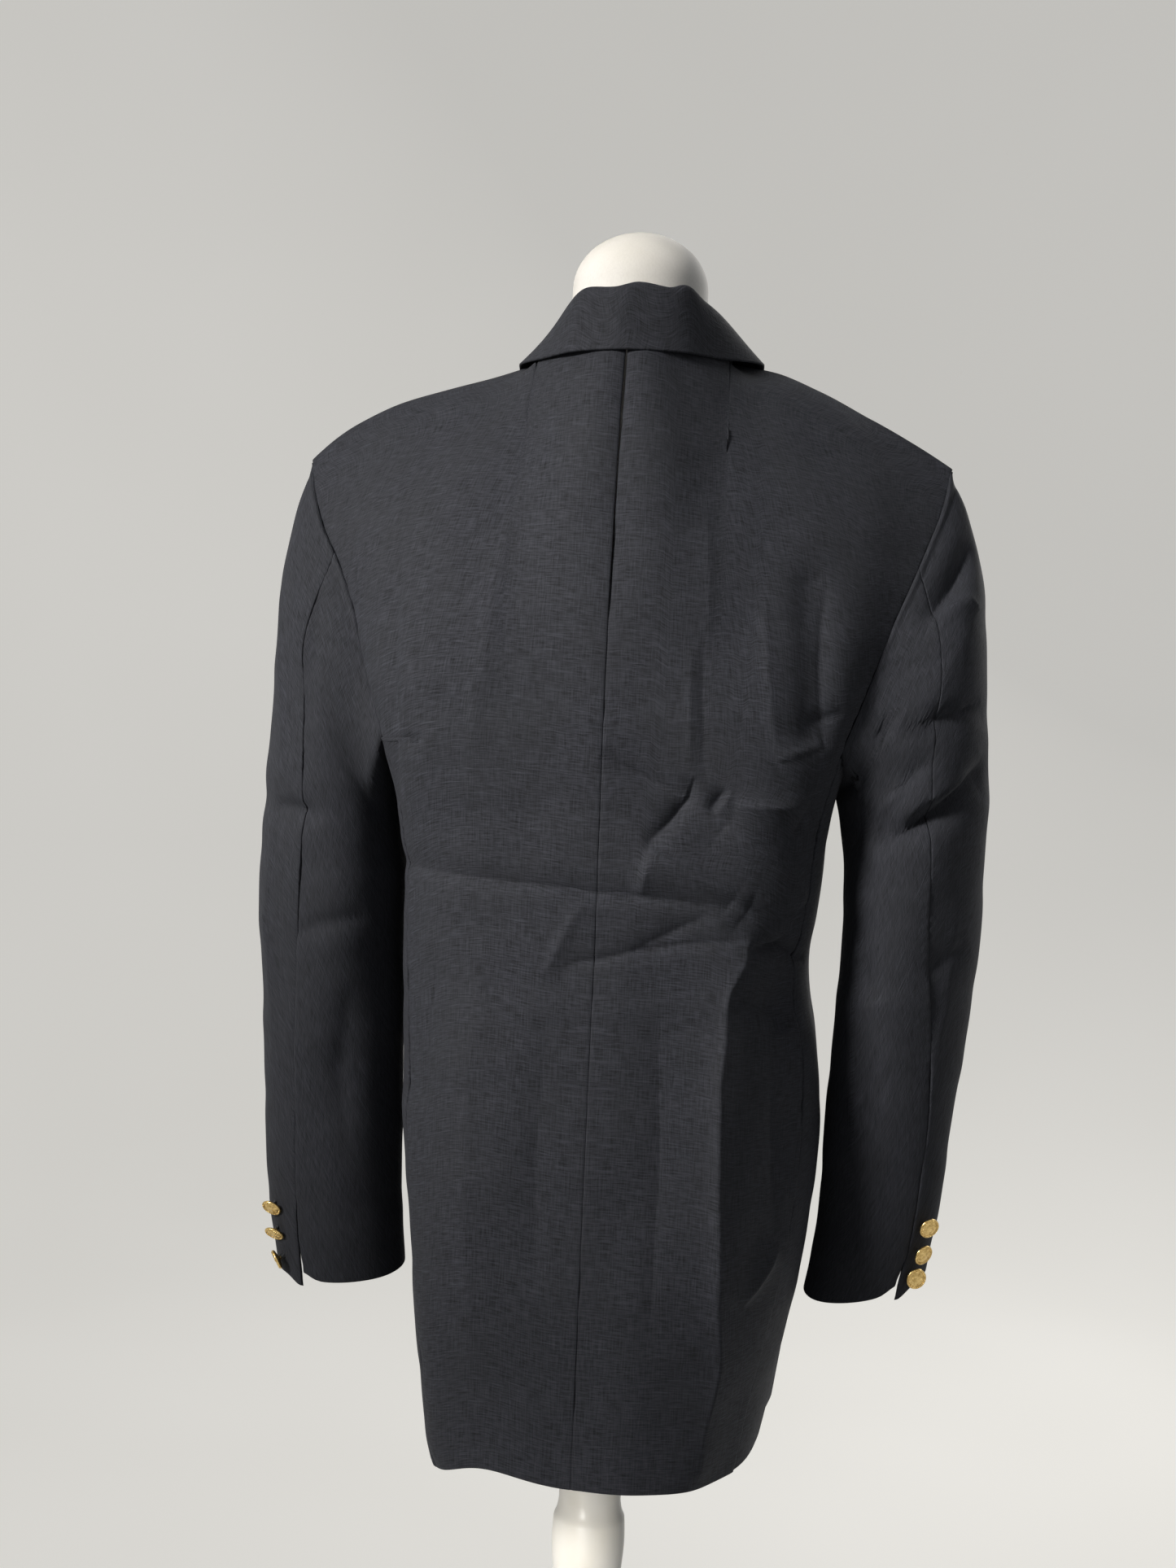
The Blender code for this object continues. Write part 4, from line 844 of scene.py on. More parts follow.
# The creases: the line of each as (x, z) seen from the back, how far it stands out or sinks in,
# how far it reaches on the left hand and on the right hand as one goes along it, and how far the
# cloth on the left hand laps over the rest
BACK_CREASES = (
    (((0.15, 1.041), (0.1403, 1.0384), (0.1199, 1.0357), (0.0812, 1.0329), (0.0521, 1.0313),
      (0.0298, 1.0302), (0.002, 1.0278), (-0.0255, 1.0269), (-0.0594, 1.0242), (-0.0891, 1.0219)),
      -0.0016, 0.006, 0.003, 0.0011),
    (((-0.088, 1.0225), (-0.1001, 1.0151), (-0.1101, 1.0068), (-0.1213, 0.9984)),
      0.0024, 0.01, 0.005, 0.0),
    (((-0.033, 1.056), (-0.0574, 1.0459), (-0.0794, 1.0353), (-0.101, 1.0248)),
      0.0038, 0.006, 0.017, 0.0),
    (((-0.0352, 1.057), (-0.0315, 1.0409), (-0.0293, 1.0265)), 0.0022, 0.011, 0.0045, 0.0),
    (((-0.032, 1.061), (-0.0464, 1.0759), (-0.0592, 1.0933), (-0.0625, 1.107)),
      -0.0034, 0.007, 0.0045, 0.0),
    (((0.001, 1.12), (-0.0221, 1.1087), (-0.0399, 1.1012), (-0.056, 1.0955)),
      -0.0022, 0.0065, 0.005, 0.0),
    (((-0.073, 1.0845), (-0.0792, 1.0925), (-0.084, 1.1)), -0.003, 0.0055, 0.0032, 0.0),
    (((-0.0773, 1.084), (-0.0824, 1.0916), (-0.0875, 1.099)), 0.0016, 0.003, 0.005, 0.0),
    (((-0.084, 1.0745), (-0.1025, 1.0617), (-0.1152, 1.0543), (-0.1259, 1.0455),
      (-0.1346, 1.0343), (-0.1379, 1.022)), 0.0034, 0.005, 0.013, 0.0),
    (((-0.09, 1.0893), (-0.1094, 1.0899), (-0.139, 1.091)), 0.0026, 0.007, 0.012, 0.0),
    (((-0.1385, 1.092), (-0.1344, 1.0802), (-0.127, 1.068)), -0.0016, 0.006, 0.006, 0.0),
    (((0.024, 0.972), (0.0137, 0.9795), (0.0001, 0.9819), (-0.0228, 0.9886), (-0.0563, 0.9946),
      (-0.0788, 0.9976), (-0.102, 0.9989)), -0.0022, 0.008, 0.004, 0.0008),
    (((-0.078, 1.018), (-0.0643, 1.0096), (-0.0447, 0.9996), (-0.025, 0.989)),
      -0.0014, 0.006, 0.006, 0.0),
    (((-0.1036, 1.003), (-0.0993, 0.9833), (-0.0944, 0.9723), (-0.0899, 0.9629),
      (-0.0887, 0.953), (-0.0885, 0.9328), (-0.0859, 0.9038), (-0.087, 0.8383),
      (-0.0899, 0.7563), (-0.0928, 0.7124), (-0.0885, 0.6852), (-0.0851, 0.6635),
      (-0.0852, 0.632)), 0.0036, 0.01, 0.005, 0.0),
    (((-0.0905, 0.9605), (-0.1041, 0.958), (-0.1139, 0.9533), (-0.1218, 0.9468),
      (-0.127, 0.934)), -0.0028, 0.011, 0.006, 0.0),
    (((-0.1015, 0.9925), (-0.1122, 0.9952), (-0.1214, 0.9967), (-0.1309, 0.9908),
      (-0.142, 0.981)), -0.0032, 0.004, 0.004, 0.0015),
    (((0.149, 1.1231), (0.136, 1.1251), (0.1235, 1.1272)), -0.0016, 0.004, 0.0045, 0.0),
    (((0.006, 1.024), (0.0176, 1.0056), (0.0247, 0.9888), (0.0345, 0.968)),
      0.0014, 0.008, 0.006, 0.0),
    (((-0.056, 1.195), (-0.057, 1.1592), (-0.0579, 1.1374), (-0.059, 1.11)),
      0.0007, 0.006, 0.005, 0.0),
    (((-0.064, 1.205), (-0.0652, 1.1592), (-0.0672, 1.1322), (-0.069, 1.103)),
      -0.0007, 0.007, 0.005, 0.0),
    (((-0.102, 1.23), (-0.106, 1.185), (-0.1093, 1.1576), (-0.1128, 1.1375), (-0.117, 1.119)),
      0.0009, 0.008, 0.006, 0.0006),
    (((-0.116, 1.12), (-0.1297, 1.1258), (-0.147, 1.1328)), 0.0014, 0.007, 0.01, 0.0012),
    (((-0.1446, 1.245), (-0.1424, 1.215), (-0.1424, 1.185), (-0.1437, 1.1649), (-0.1478, 1.13)),
      -0.0016, 0.008, 0.005, 0.0),
    (((-0.13, 1.1478), (-0.1456, 1.1499), (-0.161, 1.1556)), -0.0018, 0.005, 0.005, 0.0),
    (((-0.1305, 0.786), (-0.118, 0.768), (-0.108, 0.751)), 0.003, 0.006, 0.008, 0.0),
    (((0.153, 1.27), (0.15, 1.2), (0.148, 1.13), (0.147, 1.06)),
      -0.0016, 0.004, 0.012, 0.0),
    (((0.06, 1.33), (0.078, 1.25), (0.088, 1.15), (0.09, 1.08)),
      0.0016, 0.017, 0.017, 0.0),
    (((-0.06, 1.3), (-0.066, 1.23), (-0.068, 1.19)), 0.0012, 0.015, 0.015, 0.0),
    (((0.075, 1.0000), (0.084, 0.9), (0.08, 0.8), (0.07, 0.69)),
      0.0018, 0.018, 0.018, 0.0),
    (((0.03, 0.94), (0.034, 0.85), (0.03, 0.74)), -0.0014, 0.016, 0.016, 0.0),
    (((-0.045, 0.95), (-0.05, 0.85), (-0.048, 0.72)), -0.0018, 0.016, 0.016, 0.0),
    (((-0.12, 0.92), (-0.128, 0.85), (-0.13, 0.79)), -0.0024, 0.011, 0.011, 0.0),
    (((0.112, 0.985), (0.118, 0.93), (0.116, 0.87)), -0.0016, 0.011, 0.011, 0.0),
)
FRONT_CREASES = (
    (((0.132, 1.018), (0.1, 1.01), (0.06, 0.998), (0.02, 0.99)),
      -0.0027, 0.0084, 0.0036, 0.0),
    (((-0.132, 1.012), (-0.1, 1.006), (-0.062, 0.996), (-0.024, 0.988)),
      -0.0027, 0.0084, 0.0036, 0.0),
    (((0.112, 0.985), (0.08, 0.972), (0.035, 0.966)), 0.002, 0.008, 0.008, 0.0),
    (((-0.11, 0.98), (-0.08, 0.97), (-0.038, 0.962)), 0.002, 0.008, 0.008, 0.0),
    (((0.14, 1.23), (0.136, 1.18), (0.128, 1.13)), -0.0031, 0.0126, 0.0054, 0.0),
    (((-0.138, 1.226), (-0.134, 1.176), (-0.126, 1.128)), -0.0031, 0.0126, 0.0054, 0.0),
    (((0.07, 0.93), (0.078, 0.83), (0.074, 0.7)), -0.002, 0.014, 0.014, 0.0),
    (((-0.066, 0.93), (-0.076, 0.83), (-0.078, 0.7)), -0.002, 0.014, 0.014, 0.0),
    (((0.015, 0.95), (0.048, 0.915), (0.08, 0.88)), -0.0015, 0.008, 0.008, 0.0),
)
SLEEVE_CREASES_BACK = (
    (((0.247, 1.0762), (0.2438, 1.076), (0.2297, 1.0754), (0.2175, 1.0736), (0.204, 1.0698)),
      -0.0026, 0.004, 0.006, 0.0008),
    (((0.244, 1.29), (0.249, 1.24), (0.247, 1.1798), (0.243, 1.1529), (0.2405, 1.129),
      (0.2415, 1.09)), 0.0017, 0.007, 0.016, 0.0),
    (((0.244, 1.075), (0.248, 1.0562), (0.249, 1.032), (0.25, 1.008), (0.253, 0.99),
      (0.252, 0.93), (0.251, 0.86)), 0.0015, 0.007, 0.016, 0.0),
    (((0.174, 0.999), (0.205, 0.992), (0.227, 0.981)), -0.002, 0.006, 0.006, 0.0),
    (((-0.215, 1.2225), (-0.2234, 1.2366), (-0.2313, 1.247), (-0.239, 1.2625),
      (-0.246, 1.28)), -0.0038, 0.006, 0.0055, 0.0),
    (((-0.216, 1.221), (-0.2291, 1.2323), (-0.2427, 1.2383), (-0.252, 1.232)),
      0.0022, 0.0035, 0.006, 0.0),
    (((-0.192, 1.1878), (-0.216, 1.1949), (-0.24, 1.1995)), -0.0012, 0.008, 0.008, 0.0),
    (((-0.198, 1.151), (-0.2122, 1.1531), (-0.2286, 1.1571), (-0.2422, 1.1621),
      (-0.256, 1.169)), -0.0024, 0.004, 0.006, 0.0008),
    (((-0.185, 1.15), (-0.1925, 1.141)), -0.0018, 0.0045, 0.0045, 0.0),
    (((-0.157, 1.107), (-0.1697, 1.1069), (-0.18, 1.1068)), -0.0024, 0.004, 0.004, 0.0008),
    (((-0.189, 1.1065), (-0.2018, 1.11), (-0.2093, 1.1159), (-0.216, 1.1215)),
      -0.0026, 0.0045, 0.0045, 0.0006),
    (((-0.186, 1.0752), (-0.1988, 1.075), (-0.2097, 1.0799), (-0.2205, 1.0877),
      (-0.2338, 1.0984), (-0.2471, 1.1102), (-0.261, 1.127)), -0.0044, 0.0055, 0.006, 0.0016),
    (((-0.2, 1.08), (-0.2146, 1.0948), (-0.2308, 1.1039), (-0.249, 1.1175)),
      0.002, 0.005, 0.0045, 0.0),
    (((-0.186, 1.083), (-0.197, 1.0929), (-0.206, 1.1)), -0.0014, 0.004, 0.004, 0.0),
    (((-0.224, 0.978), (-0.2392, 0.9884), (-0.252, 0.999)), -0.0018, 0.008, 0.008, 0.0),
    (((-0.179, 0.987), (-0.1856, 0.9741), (-0.194, 0.956)), -0.0018, 0.007, 0.007, 0.0),
    (((0.215, 1.23), (0.22, 1.18), (0.219, 1.13)), -0.0016, 0.012, 0.012, 0.0),
    (((-0.245, 1.04), (-0.24, 0.96), (-0.232, 0.89)), 0.0016, 0.013, 0.009, 0.0),
    (((0.185, 0.95), (0.195, 0.88), (0.19, 0.8)), -0.0018, 0.011, 0.011, 0.0),
    (((-0.185, 0.95), (-0.19, 0.88), (-0.18, 0.81)), -0.0018, 0.011, 0.011, 0.0),
)
SLEEVE_CREASES_FRONT = (
    (((0.262, 1.065), (0.235, 1.052), (0.195, 1.046)), -0.0031, 0.0084, 0.0036, 0.0),
    (((-0.262, 1.062), (-0.235, 1.05), (-0.195, 1.045)), -0.0031, 0.0084, 0.0036, 0.0),
    (((0.255, 1.1), (0.23, 1.085), (0.205, 1.08)), -0.002, 0.0055, 0.0055, 0.0),
    (((-0.255, 1.098), (-0.23, 1.084), (-0.205, 1.079)), -0.002, 0.0055, 0.0055, 0.0),
    (((0.23, 1.26), (0.225, 1.2), (0.215, 1.15)), -0.002, 0.011, 0.011, 0.0),
    (((-0.23, 1.26), (-0.225, 1.2), (-0.215, 1.15)), -0.002, 0.011, 0.011, 0.0),
)

# How the collar's fold wanders up and down along its length, seen from the back
COLLAR_WANDER = (
    (-0.060, -0.0005), (-0.049, 0.0000), (-0.040, 0.0036), (-0.027, -0.0012), (-0.007, 0.0008),
    (0.010, -0.0026), (0.028, -0.0004), (0.041, 0.0010), (0.058, 0.0008),
)

# Where the fold starts and ends on the collar's section, and the last places at its edge
FOLD_PLACES = (0.36, 0.64)
COLLAR_EDGE = (0.985, 0.990, 0.995, 1.0)
COLLAR_PLACES = 76
STAND_RISE = 0.55
STAND_LEAN = 0.6
FALL_EASE = 0.002
COLLAR_WAVES = ((0.0007, 95, 1.3), (0.0005, 210, 0.4))

# Where the wandering fades in behind the neck and out towards the collar's sides
WANDER_FROM_Y = -0.02
WANDER_FADE_Y = 0.04
WANDER_TO_X = 0.075
WANDER_FADE_X = 0.012

# Soft waves in the hanging cloth: their length across and along, and their size
WAVES = ((0.131, 0.620, 0.00095), (0.057, 0.310, 0.00030), (0.240, 0.093, 0.00042))
WAVE_PHASE = {"back": 0.0, "side": 1.1, "front": 2.9, "top": 4.0, "under": 5.2}
RIGHT_BODY_PHASE = 0.8
RIGHT_SLEEVE_PHASE = 1.1
WAVE_BEND = 0.9
WAVE_BEND_LONG = 0.7
WAVE_SHIFT = 2.4


def crease_height(side, points, creases, behind):
    """How far the fine creases raise or sink the cloth. Each fades out at its two ends."""
    height = np.zeros(points.shape[:-1])
    x = SIGN[side] * points[..., 0]
    facing = np.clip((1 if behind else -1) * points[..., 1] / FACING_Y, 0, 1)
    for line, out, left, right, lip in creases:
        distance, sided, share = line_place(x, points[..., 2], line)
        fade = np.sin(math.pi * np.clip(share, 0, 1)) ** CREASE_FADE
        reach = np.where(sided > 0, left, right)
        raised = out * np.exp(-((distance / reach) ** CREASE_SHARP))
        lapped_over = lip * np.tanh(sided / LIP_STEEP) * np.exp(-distance / LIP_WIDE)
        height += facing * fade * (CREASE_TIMES * raised + lapped_over)
    return height


def wave_height(side, points, phase):
    """The soft waves of cloth that hangs, and never lies quite even."""
    x = SIGN[side] * points[..., 0] + 0.5 * points[..., 1]
    z = points[..., 2]
    height = 0.0
    for number, (wide, long, size) in enumerate(WAVES):
        bend = WAVE_BEND * np.sin(2 * math.pi * z / (WAVE_BEND_LONG * long) + phase + number)
        turn = 2 * math.pi * (x / wide + z / long) + bend + WAVE_SHIFT * number + phase
        height = height + size * np.sin(turn)
    return height


def widths_of(surface, up, most_up):
    """How wide the panel is across, at each row."""
    across = np.linspace(0, 1, 25)
    up_grid, across_grid = np.meshgrid(up, across, indexing="ij")
    line = surface(across_grid, np.minimum(up_grid, most_up))
    return np.linalg.norm(np.diff(line, axis=1), axis=-1).sum(axis=1)


def places_between(low, high, step, low_edge, high_edge):
    """Places spaced evenly from low to high, in metres, with closer ones beside an edge."""
    count = max(int(round((high - low) / step)), 4)
    places = list(np.linspace(low, high, count + 1))
    if low_edge:
        kept = [at for at in places if at > low + EDGE_STEPS[-1] + CLOSEST * step]
        places = [low] + [low + gap for gap in EDGE_STEPS] + kept
    if high_edge:
        kept = [at for at in places if at < high - EDGE_STEPS[-1] - CLOSEST * step]
        places = kept + [high - gap for gap in reversed(EDGE_STEPS)] + [high]
    return np.array(places)


def seam_height(gap, along):
    """A seam draws the cloth down to its stitches and puckers it a little beside them."""
    gap = np.maximum(gap, 0)
    dip = -SEAM_DIP * np.exp(-((gap / SEAM_WIDE) ** 2))
    ripple = np.sin(2 * math.pi * along / PUCKER_LONG + 1.7 * np.sin(along / PUCKER_DRIFT))
    return dip + PUCKER * ripple * np.exp(-gap / PUCKER_WIDE)


def uv_of(grid, middle):
    """Where each point lies on the flat cloth, in metres across and along."""
    across = np.zeros(grid.shape[:2])
    along = np.zeros(grid.shape[:2])
    across[:, 1:] = np.cumsum(np.linalg.norm(np.diff(grid, axis=1), axis=-1), axis=1)
    along[1:] = np.cumsum(np.linalg.norm(np.diff(grid, axis=0), axis=-1), axis=0)
    across -= across[:, middle][:, None]
    return np.stack([across, along], axis=-1)


def out_of_edge(grid):
    """The way out of the sheet at each point of its border."""
    out = np.zeros_like(grid)
    out[0] += unit(grid[0] - grid[1])
    out[-1] += unit(grid[-1] - grid[-2])
    out[:, 0] += unit(grid[:, 0] - grid[:, 1])
    out[:, -1] += unit(grid[:, -1] - grid[:, -2])
    return out


def mesh_object(name, vertices, faces, uv=None):
    """A closed mesh as an object at the origin, with its faces turned outwards."""
    mesh = bpy.data.meshes.new(name)
    mesh.from_pydata(np.asarray(vertices, float).tolist(), [], faces)
    shape = bmesh.new()
    shape.from_mesh(mesh)
    bmesh.ops.recalc_face_normals(shape, faces=shape.faces)
    shape.to_mesh(mesh)
    shape.free()
    mesh.shade_smooth()
    if uv is not None:
        layer = mesh.uv_layers.new(name="cloth")
        corners = np.zeros(len(mesh.loops), np.int32)
        mesh.loops.foreach_get("vertex_index", corners)
        layer.data.foreach_set("uv", np.asarray(uv, np.float32)[corners].ravel())
    thing = bpy.data.objects.new(name, mesh)
    bpy.context.scene.collection.objects.link(thing)
    return thing


def cloth_sheet(name, side, outer, inner, rounded, middle, turned=False):
    """A sheet of cloth between two grids, with a rim that is rounded where its edge is free.

    rounded says so for the first row, the last row, the first column and the last column, and
    turned lays the weft along the rows' own direction.
    """
    rows, columns = outer.shape[:2]
    within = rows * columns
    border = [(0, place) for place in range(columns)]
    border += [(row, columns - 1) for row in range(1, rows)]
    border += [(rows - 1, place) for place in range(columns - 2, -1, -1)]
    border += [(row, 0) for row in range(rows - 2, 0, -1)]
    way_out = out_of_edge(outer)
    rim = []
    for row, place in border:
        free = (
            (rounded[0] and row == 0) or (rounded[1] and row == rows - 1)
            or (rounded[2] and place == 0) or (rounded[3] and place == columns - 1)
        )
        push = EDGE_ROUND if free else 0.0
        rim.append((outer[row, place] + inner[row, place]) / 2 + push * way_out[row, place])
    vertices = np.concatenate([outer.reshape(-1, 3), inner.reshape(-1, 3), np.array(rim)])
    vertices = vertices * np.array([SIGN[side], 1, 1])
    flat = uv_of(outer, middle)
    if turned:
        flat = flat[..., ::-1]
    edge_uv = np.array([flat[row, place] for row, place in border])
    uv = np.concatenate([flat.reshape(-1, 2), flat.reshape(-1, 2), edge_uv])
    index = np.arange(within).reshape(rows, columns)
    quads = np.stack([index[:-1, :-1], index[:-1, 1:], index[1:, 1:], index[1:, :-1]], axis=-1)
    quads = quads.reshape(-1, 4)
    faces = quads.tolist() + (quads[:, ::-1] + within).tolist()
    count = len(border)
    for number in range(count):
        beside = (number + 1) % count
        here = index[border[number]]
        there = index[border[beside]]
        rim_here = 2 * within + number
        rim_there = 2 * within + beside
        faces.append([int(rim_here), int(rim_there), int(there), int(here)])
        faces.append([int(here + within), int(there + within), int(rim_there), int(rim_here)])
    thing = mesh_object(name, vertices, faces, uv)
    thing.data.materials.append(material("linen"))
    return thing


def hang(thing, node):
    """Hangs a piece of cloth on the root and hides the solid that it stands for."""
    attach(thing, "root")
    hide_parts(node)


def fine_panel(side, panel):
    """A body panel's outer face with its folds, creases, waves and seams."""
    most_up = 1 if panel == "side" else 2
    own = body_surface(side, panel)
    plain = folded(side, own, BODY_FOLDS, most_up)
    if panel == "front":
        plain = lapped(side, plain)
    rows = np.linspace(0, most_up, 60)
    widths = widths_of(own, rows, most_up)
    phase = WAVE_PHASE[panel] + (RIGHT_BODY_PHASE if side == "right" else 0.0)

    def surface(across, up):
        across, up = paired(across, up)
        points = plain(across, up)
        normals = surface_normals(own, across, up, most_up)
        creases = FRONT_CREASES if panel == "front" else BACK_CREASES
        height = crease_height(side, points, creases, panel != "front")
        if panel == "side":
            height = height + crease_height(side, points, FRONT_CREASES, False)
        fade = np.clip((most_up - up) / TOP_FADE, 0, 1)
        height = (height + wave_height(side, points, phase)) * (TOP_KEPT + (1 - TOP_KEPT) * fade)
        wide = np.interp(up, rows, widths)
        first = across * wide
        last = (1 - across) * wide
        height = height + seam_height(first, points[..., 2])
        if panel != "front":
            height = height + seam_height(last, points[..., 2])
        else:
            height = height - SEAM_DIP * np.exp(-((last / EDGE_SOFT) ** 2))
        return points + height[..., None] * normals

    return surface


def panel_grid(name, side, surface, across, up, most_up):
    """A panel's outer and inner grid. Along the shoulder seam both lie square to the seam."""
    up_grid, across_grid = np.meshgrid(up, across, indexing="ij")
    up_grid = cut_at_neck(side, name.split("_")[0], across_grid, up_grid)
    outer = surface(across_grid, up_grid)
    direction = surface_normals(surface, across_grid, up_grid, most_up)
    ridge = (up_grid > SHOULDER_UP) & (np.abs(outer[..., 1]) < RIDGE_NEAR)
    direction = np.where(ridge[..., None], unit(direction * np.array([1, 0, 1])), direction)
    return outer, outer - WALL * direction


def body_rows(panel):
    """The rows up a body panel, close together at the hem and at the shoulder seam."""
    step = BACK_STEP if panel == "back" else CLOTH_STEP
    low = places_between(0, CHEST_Z - HEM_Z, step, True, panel == "side")
    if panel == "back":
        crumpled = np.arange(CRUMPLED_Z[0] - HEM_Z, CRUMPLED_Z[1] - HEM_Z, CRUMPLED_STEP)
        before = low < crumpled[0] - CLOSEST * step
        after = low > crumpled[-1] + CLOSEST * step
        low = np.sort(np.concatenate([low[before | after], crumpled]))
    low = low / (CHEST_Z - HEM_Z)
    if panel == "side":
        return low
    high = 1 + places_between(0, UPPER_LONG, step, False, True)[1:] / UPPER_LONG
    high[-1] = 2 - TOP_SHORT
    return np.concatenate([low, high])


def body_columns(side, panel):
    """The columns across a body panel, close together beside its seams."""
    wide = PANEL_WIDE[panel]
    step = BACK_COLUMN_STEP[side] if panel == "back" else CLOTH_STEP
    places = places_between(0, wide, step, True, True) / wide
    if panel == "back":
        neck = neck_place(side)
        count = int(round(NECK_LONG / step))
        round_neck = neck * np.sin(np.linspace(0, math.pi / 2, count))
        start = np.array(EDGE_STEPS) / wide
        kept = (round_neck > start[-1] + NECK_CLEAR) & (round_neck < neck - 0.5 * step / wide)
        outside = places[places > neck + CLOSEST * step / wide]
        places = np.array([0.0, *start, *round_neck[kept], neck, *outside])
    return places


def build_body():
    """The backs, the side bodies and the fronts."""
    for side in SIGN:
        for panel in ("back", "side", "front"):
            surface = fine_panel(side, panel)
            name = f"{panel}_{side}"
            most_up = 1 if panel == "side" else 2
            across = body_columns(side, panel)
            rows = body_rows(panel)
            outer, inner = panel_grid(name, side, surface, across, rows, most_up)
            rounded = (True, False, False, panel == "front")
            middle = {"back": 0, "side": len(across) // 2, "front": len(across) // 2}[panel]
            thing = cloth_sheet(f"{name}_cloth", side, outer, inner, rounded, middle)
            hang(thing, name)


def hanging_front(side):
    """A front's outer face with its folds, eased in under the other front."""
    return lapped(side, folded(side, body_surface(side, "front"), BODY_FOLDS, 2))


def build_lapels():
    """Each lapel, turned back along its roll line and lying on its front."""
    shares = column(LAPEL, LAPEL_COLUMNS, "share")
    widths = column(LAPEL, LAPEL_COLUMNS, "width")
    break_up = (BREAK_Z - HEM_Z) / (CHEST_Z - HEM_Z)
    for side in SIGN:
        front = hanging_front(side)
        own = body_surface(side, "front")

        def surface(across, share, front=front, own=own):
            across, share = paired(across, share)
            top = GORGE_UP - GORGE_SLANT * across
            up = break_up + LAPEL_START_UP + share * (top - break_up - LAPEL_START_UP)
            width = LAPEL_LEAST + smooth(shares, widths, share)
            place = LAPEL_START - across * width / FRONT_WIDE
            points = front(place, up)
            from_roll = (across * width - LAPEL_ROLL_AT) / LAPEL_ROLL_AT
            wave = LAPEL_WAVE * np.sin(share * 11 + across * 2) * across
            lift = LAPEL_LIFT + LAPEL_ROLL * np.exp(-(from_roll**2)) + wave
            return points + lift[..., None] * surface_normals(own, place, up, 2)

        across = places_between(0, LAPEL_WIDE, CLOTH_STEP, True, True)[::-1] / LAPEL_WIDE
        share = places_between(0, LAPEL_LONG, CLOTH_STEP, True, True) / LAPEL_LONG
        outer, inner = panel_grid("lapel", side, surface, across, share, 1)
        thing = cloth_sheet(f"lapel_{side}_cloth", side, outer, inner, (True, True, True, True), 0)
        hang(thing, f"lapel_{side}")


def build_collar():
    """The collar in one piece: its stand, its rolled fold and its fall, with a wandering fold."""
    places = np.linspace(0, 1, COLLAR_PLACES)
    halves = []
    for side in SIGN:
        mirror = np.array([SIGN[side], 1, 1])
        halves.append([line * mirror for line in collar_lines(side, places)])
    around = [np.concatenate([left[::-1], right[1:]]) for left, right in zip(*halves)]
    stand = np.linspace(0, FOLD_PLACES[0], 10)[:-1]
    over = np.linspace(*FOLD_PLACES, 26)
    down = np.linspace(FOLD_PLACES[1], COLLAR_EDGE[0], 11)
    profile = np.concatenate([stand, over, down[1:], COLLAR_EDGE[1:]])
    wander_x, wander_z = np.array(COLLAR_WANDER).T
    outer = []
    inner = []
    for start, fold, end in zip(*around):
        behind = eased((fold[1] - WANDER_FROM_Y) / WANDER_FADE_Y)
        inside = eased((WANDER_TO_X - abs(fold[0])) / WANDER_FADE_X)
        fold = fold.copy()
        fold[2] += behind * inside * float(smooth(wander_x, wander_z, np.array([fold[0]]))[0])
        points, normals = collar_profile(start, fold, end, profile)
        fall = np.clip(2 * profile - 1, 0, 1)
        ease = sum(size * np.sin(fold[0] * often + shift) for size, often, shift in COLLAR_WAVES)
        points = points + (ease * np.sin(math.pi * fall))[:, None] * normals
        outer.append(points)
        inner.append(points - WALL * normals)
    outer = np.array(outer)
    inner = np.array(inner)
    thing = cloth_sheet("collar_cloth", "left", outer, inner, (True, True, False, True), 0, True)
    hang(thing, "collar")


def fine_sleeve(side, panel):
    """A sleeve panel's outer face with its folds, creases, seams, full head and open cuff."""
    own = sleeve_surface(side, panel)
    plain = folded(side, own, SLEEVE_FOLDS, 1)
    rows = np.linspace(0, 1, 40)
    widths = widths_of(own, rows, 1)
    phase = WAVE_PHASE[panel] + (RIGHT_SLEEVE_PHASE if side == "right" else 0.0)

    def surface(across, along):
        across, along = paired(across, along)
        points = plain(across, along)
        normals = surface_normals(own, across, along, 1)
        height = crease_height(side, points, SLEEVE_CREASES_BACK, True)
        height = height + crease_height(side, points, SLEEVE_CREASES_FRONT, False)
        down = along * SLEEVE_LONG
        height = (height + wave_height(side, points, phase)) * np.clip(down / HEAD_FADE, 0, 1)
        over = np.clip((points[..., 2] - ROPE_FROM_Z) / ROPE_FADE, 0, 1)
        height = height + ROPE * over * np.exp(-(((down - ROPE_AT) / ROPE_WIDE) ** 2))
        height = height + seam_height(down, across * SLEEVE_HALF_ROUND)
        wide = np.interp(along, rows, widths)
        height = height + seam_height(across * wide, down) + seam_height((1 - across) * wide, down)
        points = points + height[..., None] * normals
        hind = (1 - across if panel == "top" else across) * wide
        low = np.clip((along - CORNER_FROM) / CORNER_LONG, 0, 1) ** 2
        if panel == "top":
            points[..., 2] -= TAB_DROP * low * np.exp(-((hind / TAB_WIDE) ** 2))
        else:
            points[..., 2] += CORNER_LIFT * low * np.exp(-((hind / CORNER_WIDE) ** 2))
        return points

    return surface


def softened(grid, angle, along):
    """The sleeve's grid with the ridge that runs down from the shoulder's tip rounded over."""
    reach = len(RIDGE_WEIGHTS) // 2
    weights = np.array(RIDGE_WEIGHTS) / sum(RIDGE_WEIGHTS)
    padded = np.pad(grid, ((0, 0), (reach, reach), (0, 0)), mode="edge")
    count = grid.shape[1]
    blurred = sum(weight * padded[:, start : start + count] for start, weight in enumerate(weights))
    share = np.exp(-((angle / RIDGE_ANGLE) ** 2))
    share = share * np.clip(along * SLEEVE_LONG / RIDGE_STARTS, 0, 1)
    return grid + share[..., None] * (blurred - grid)


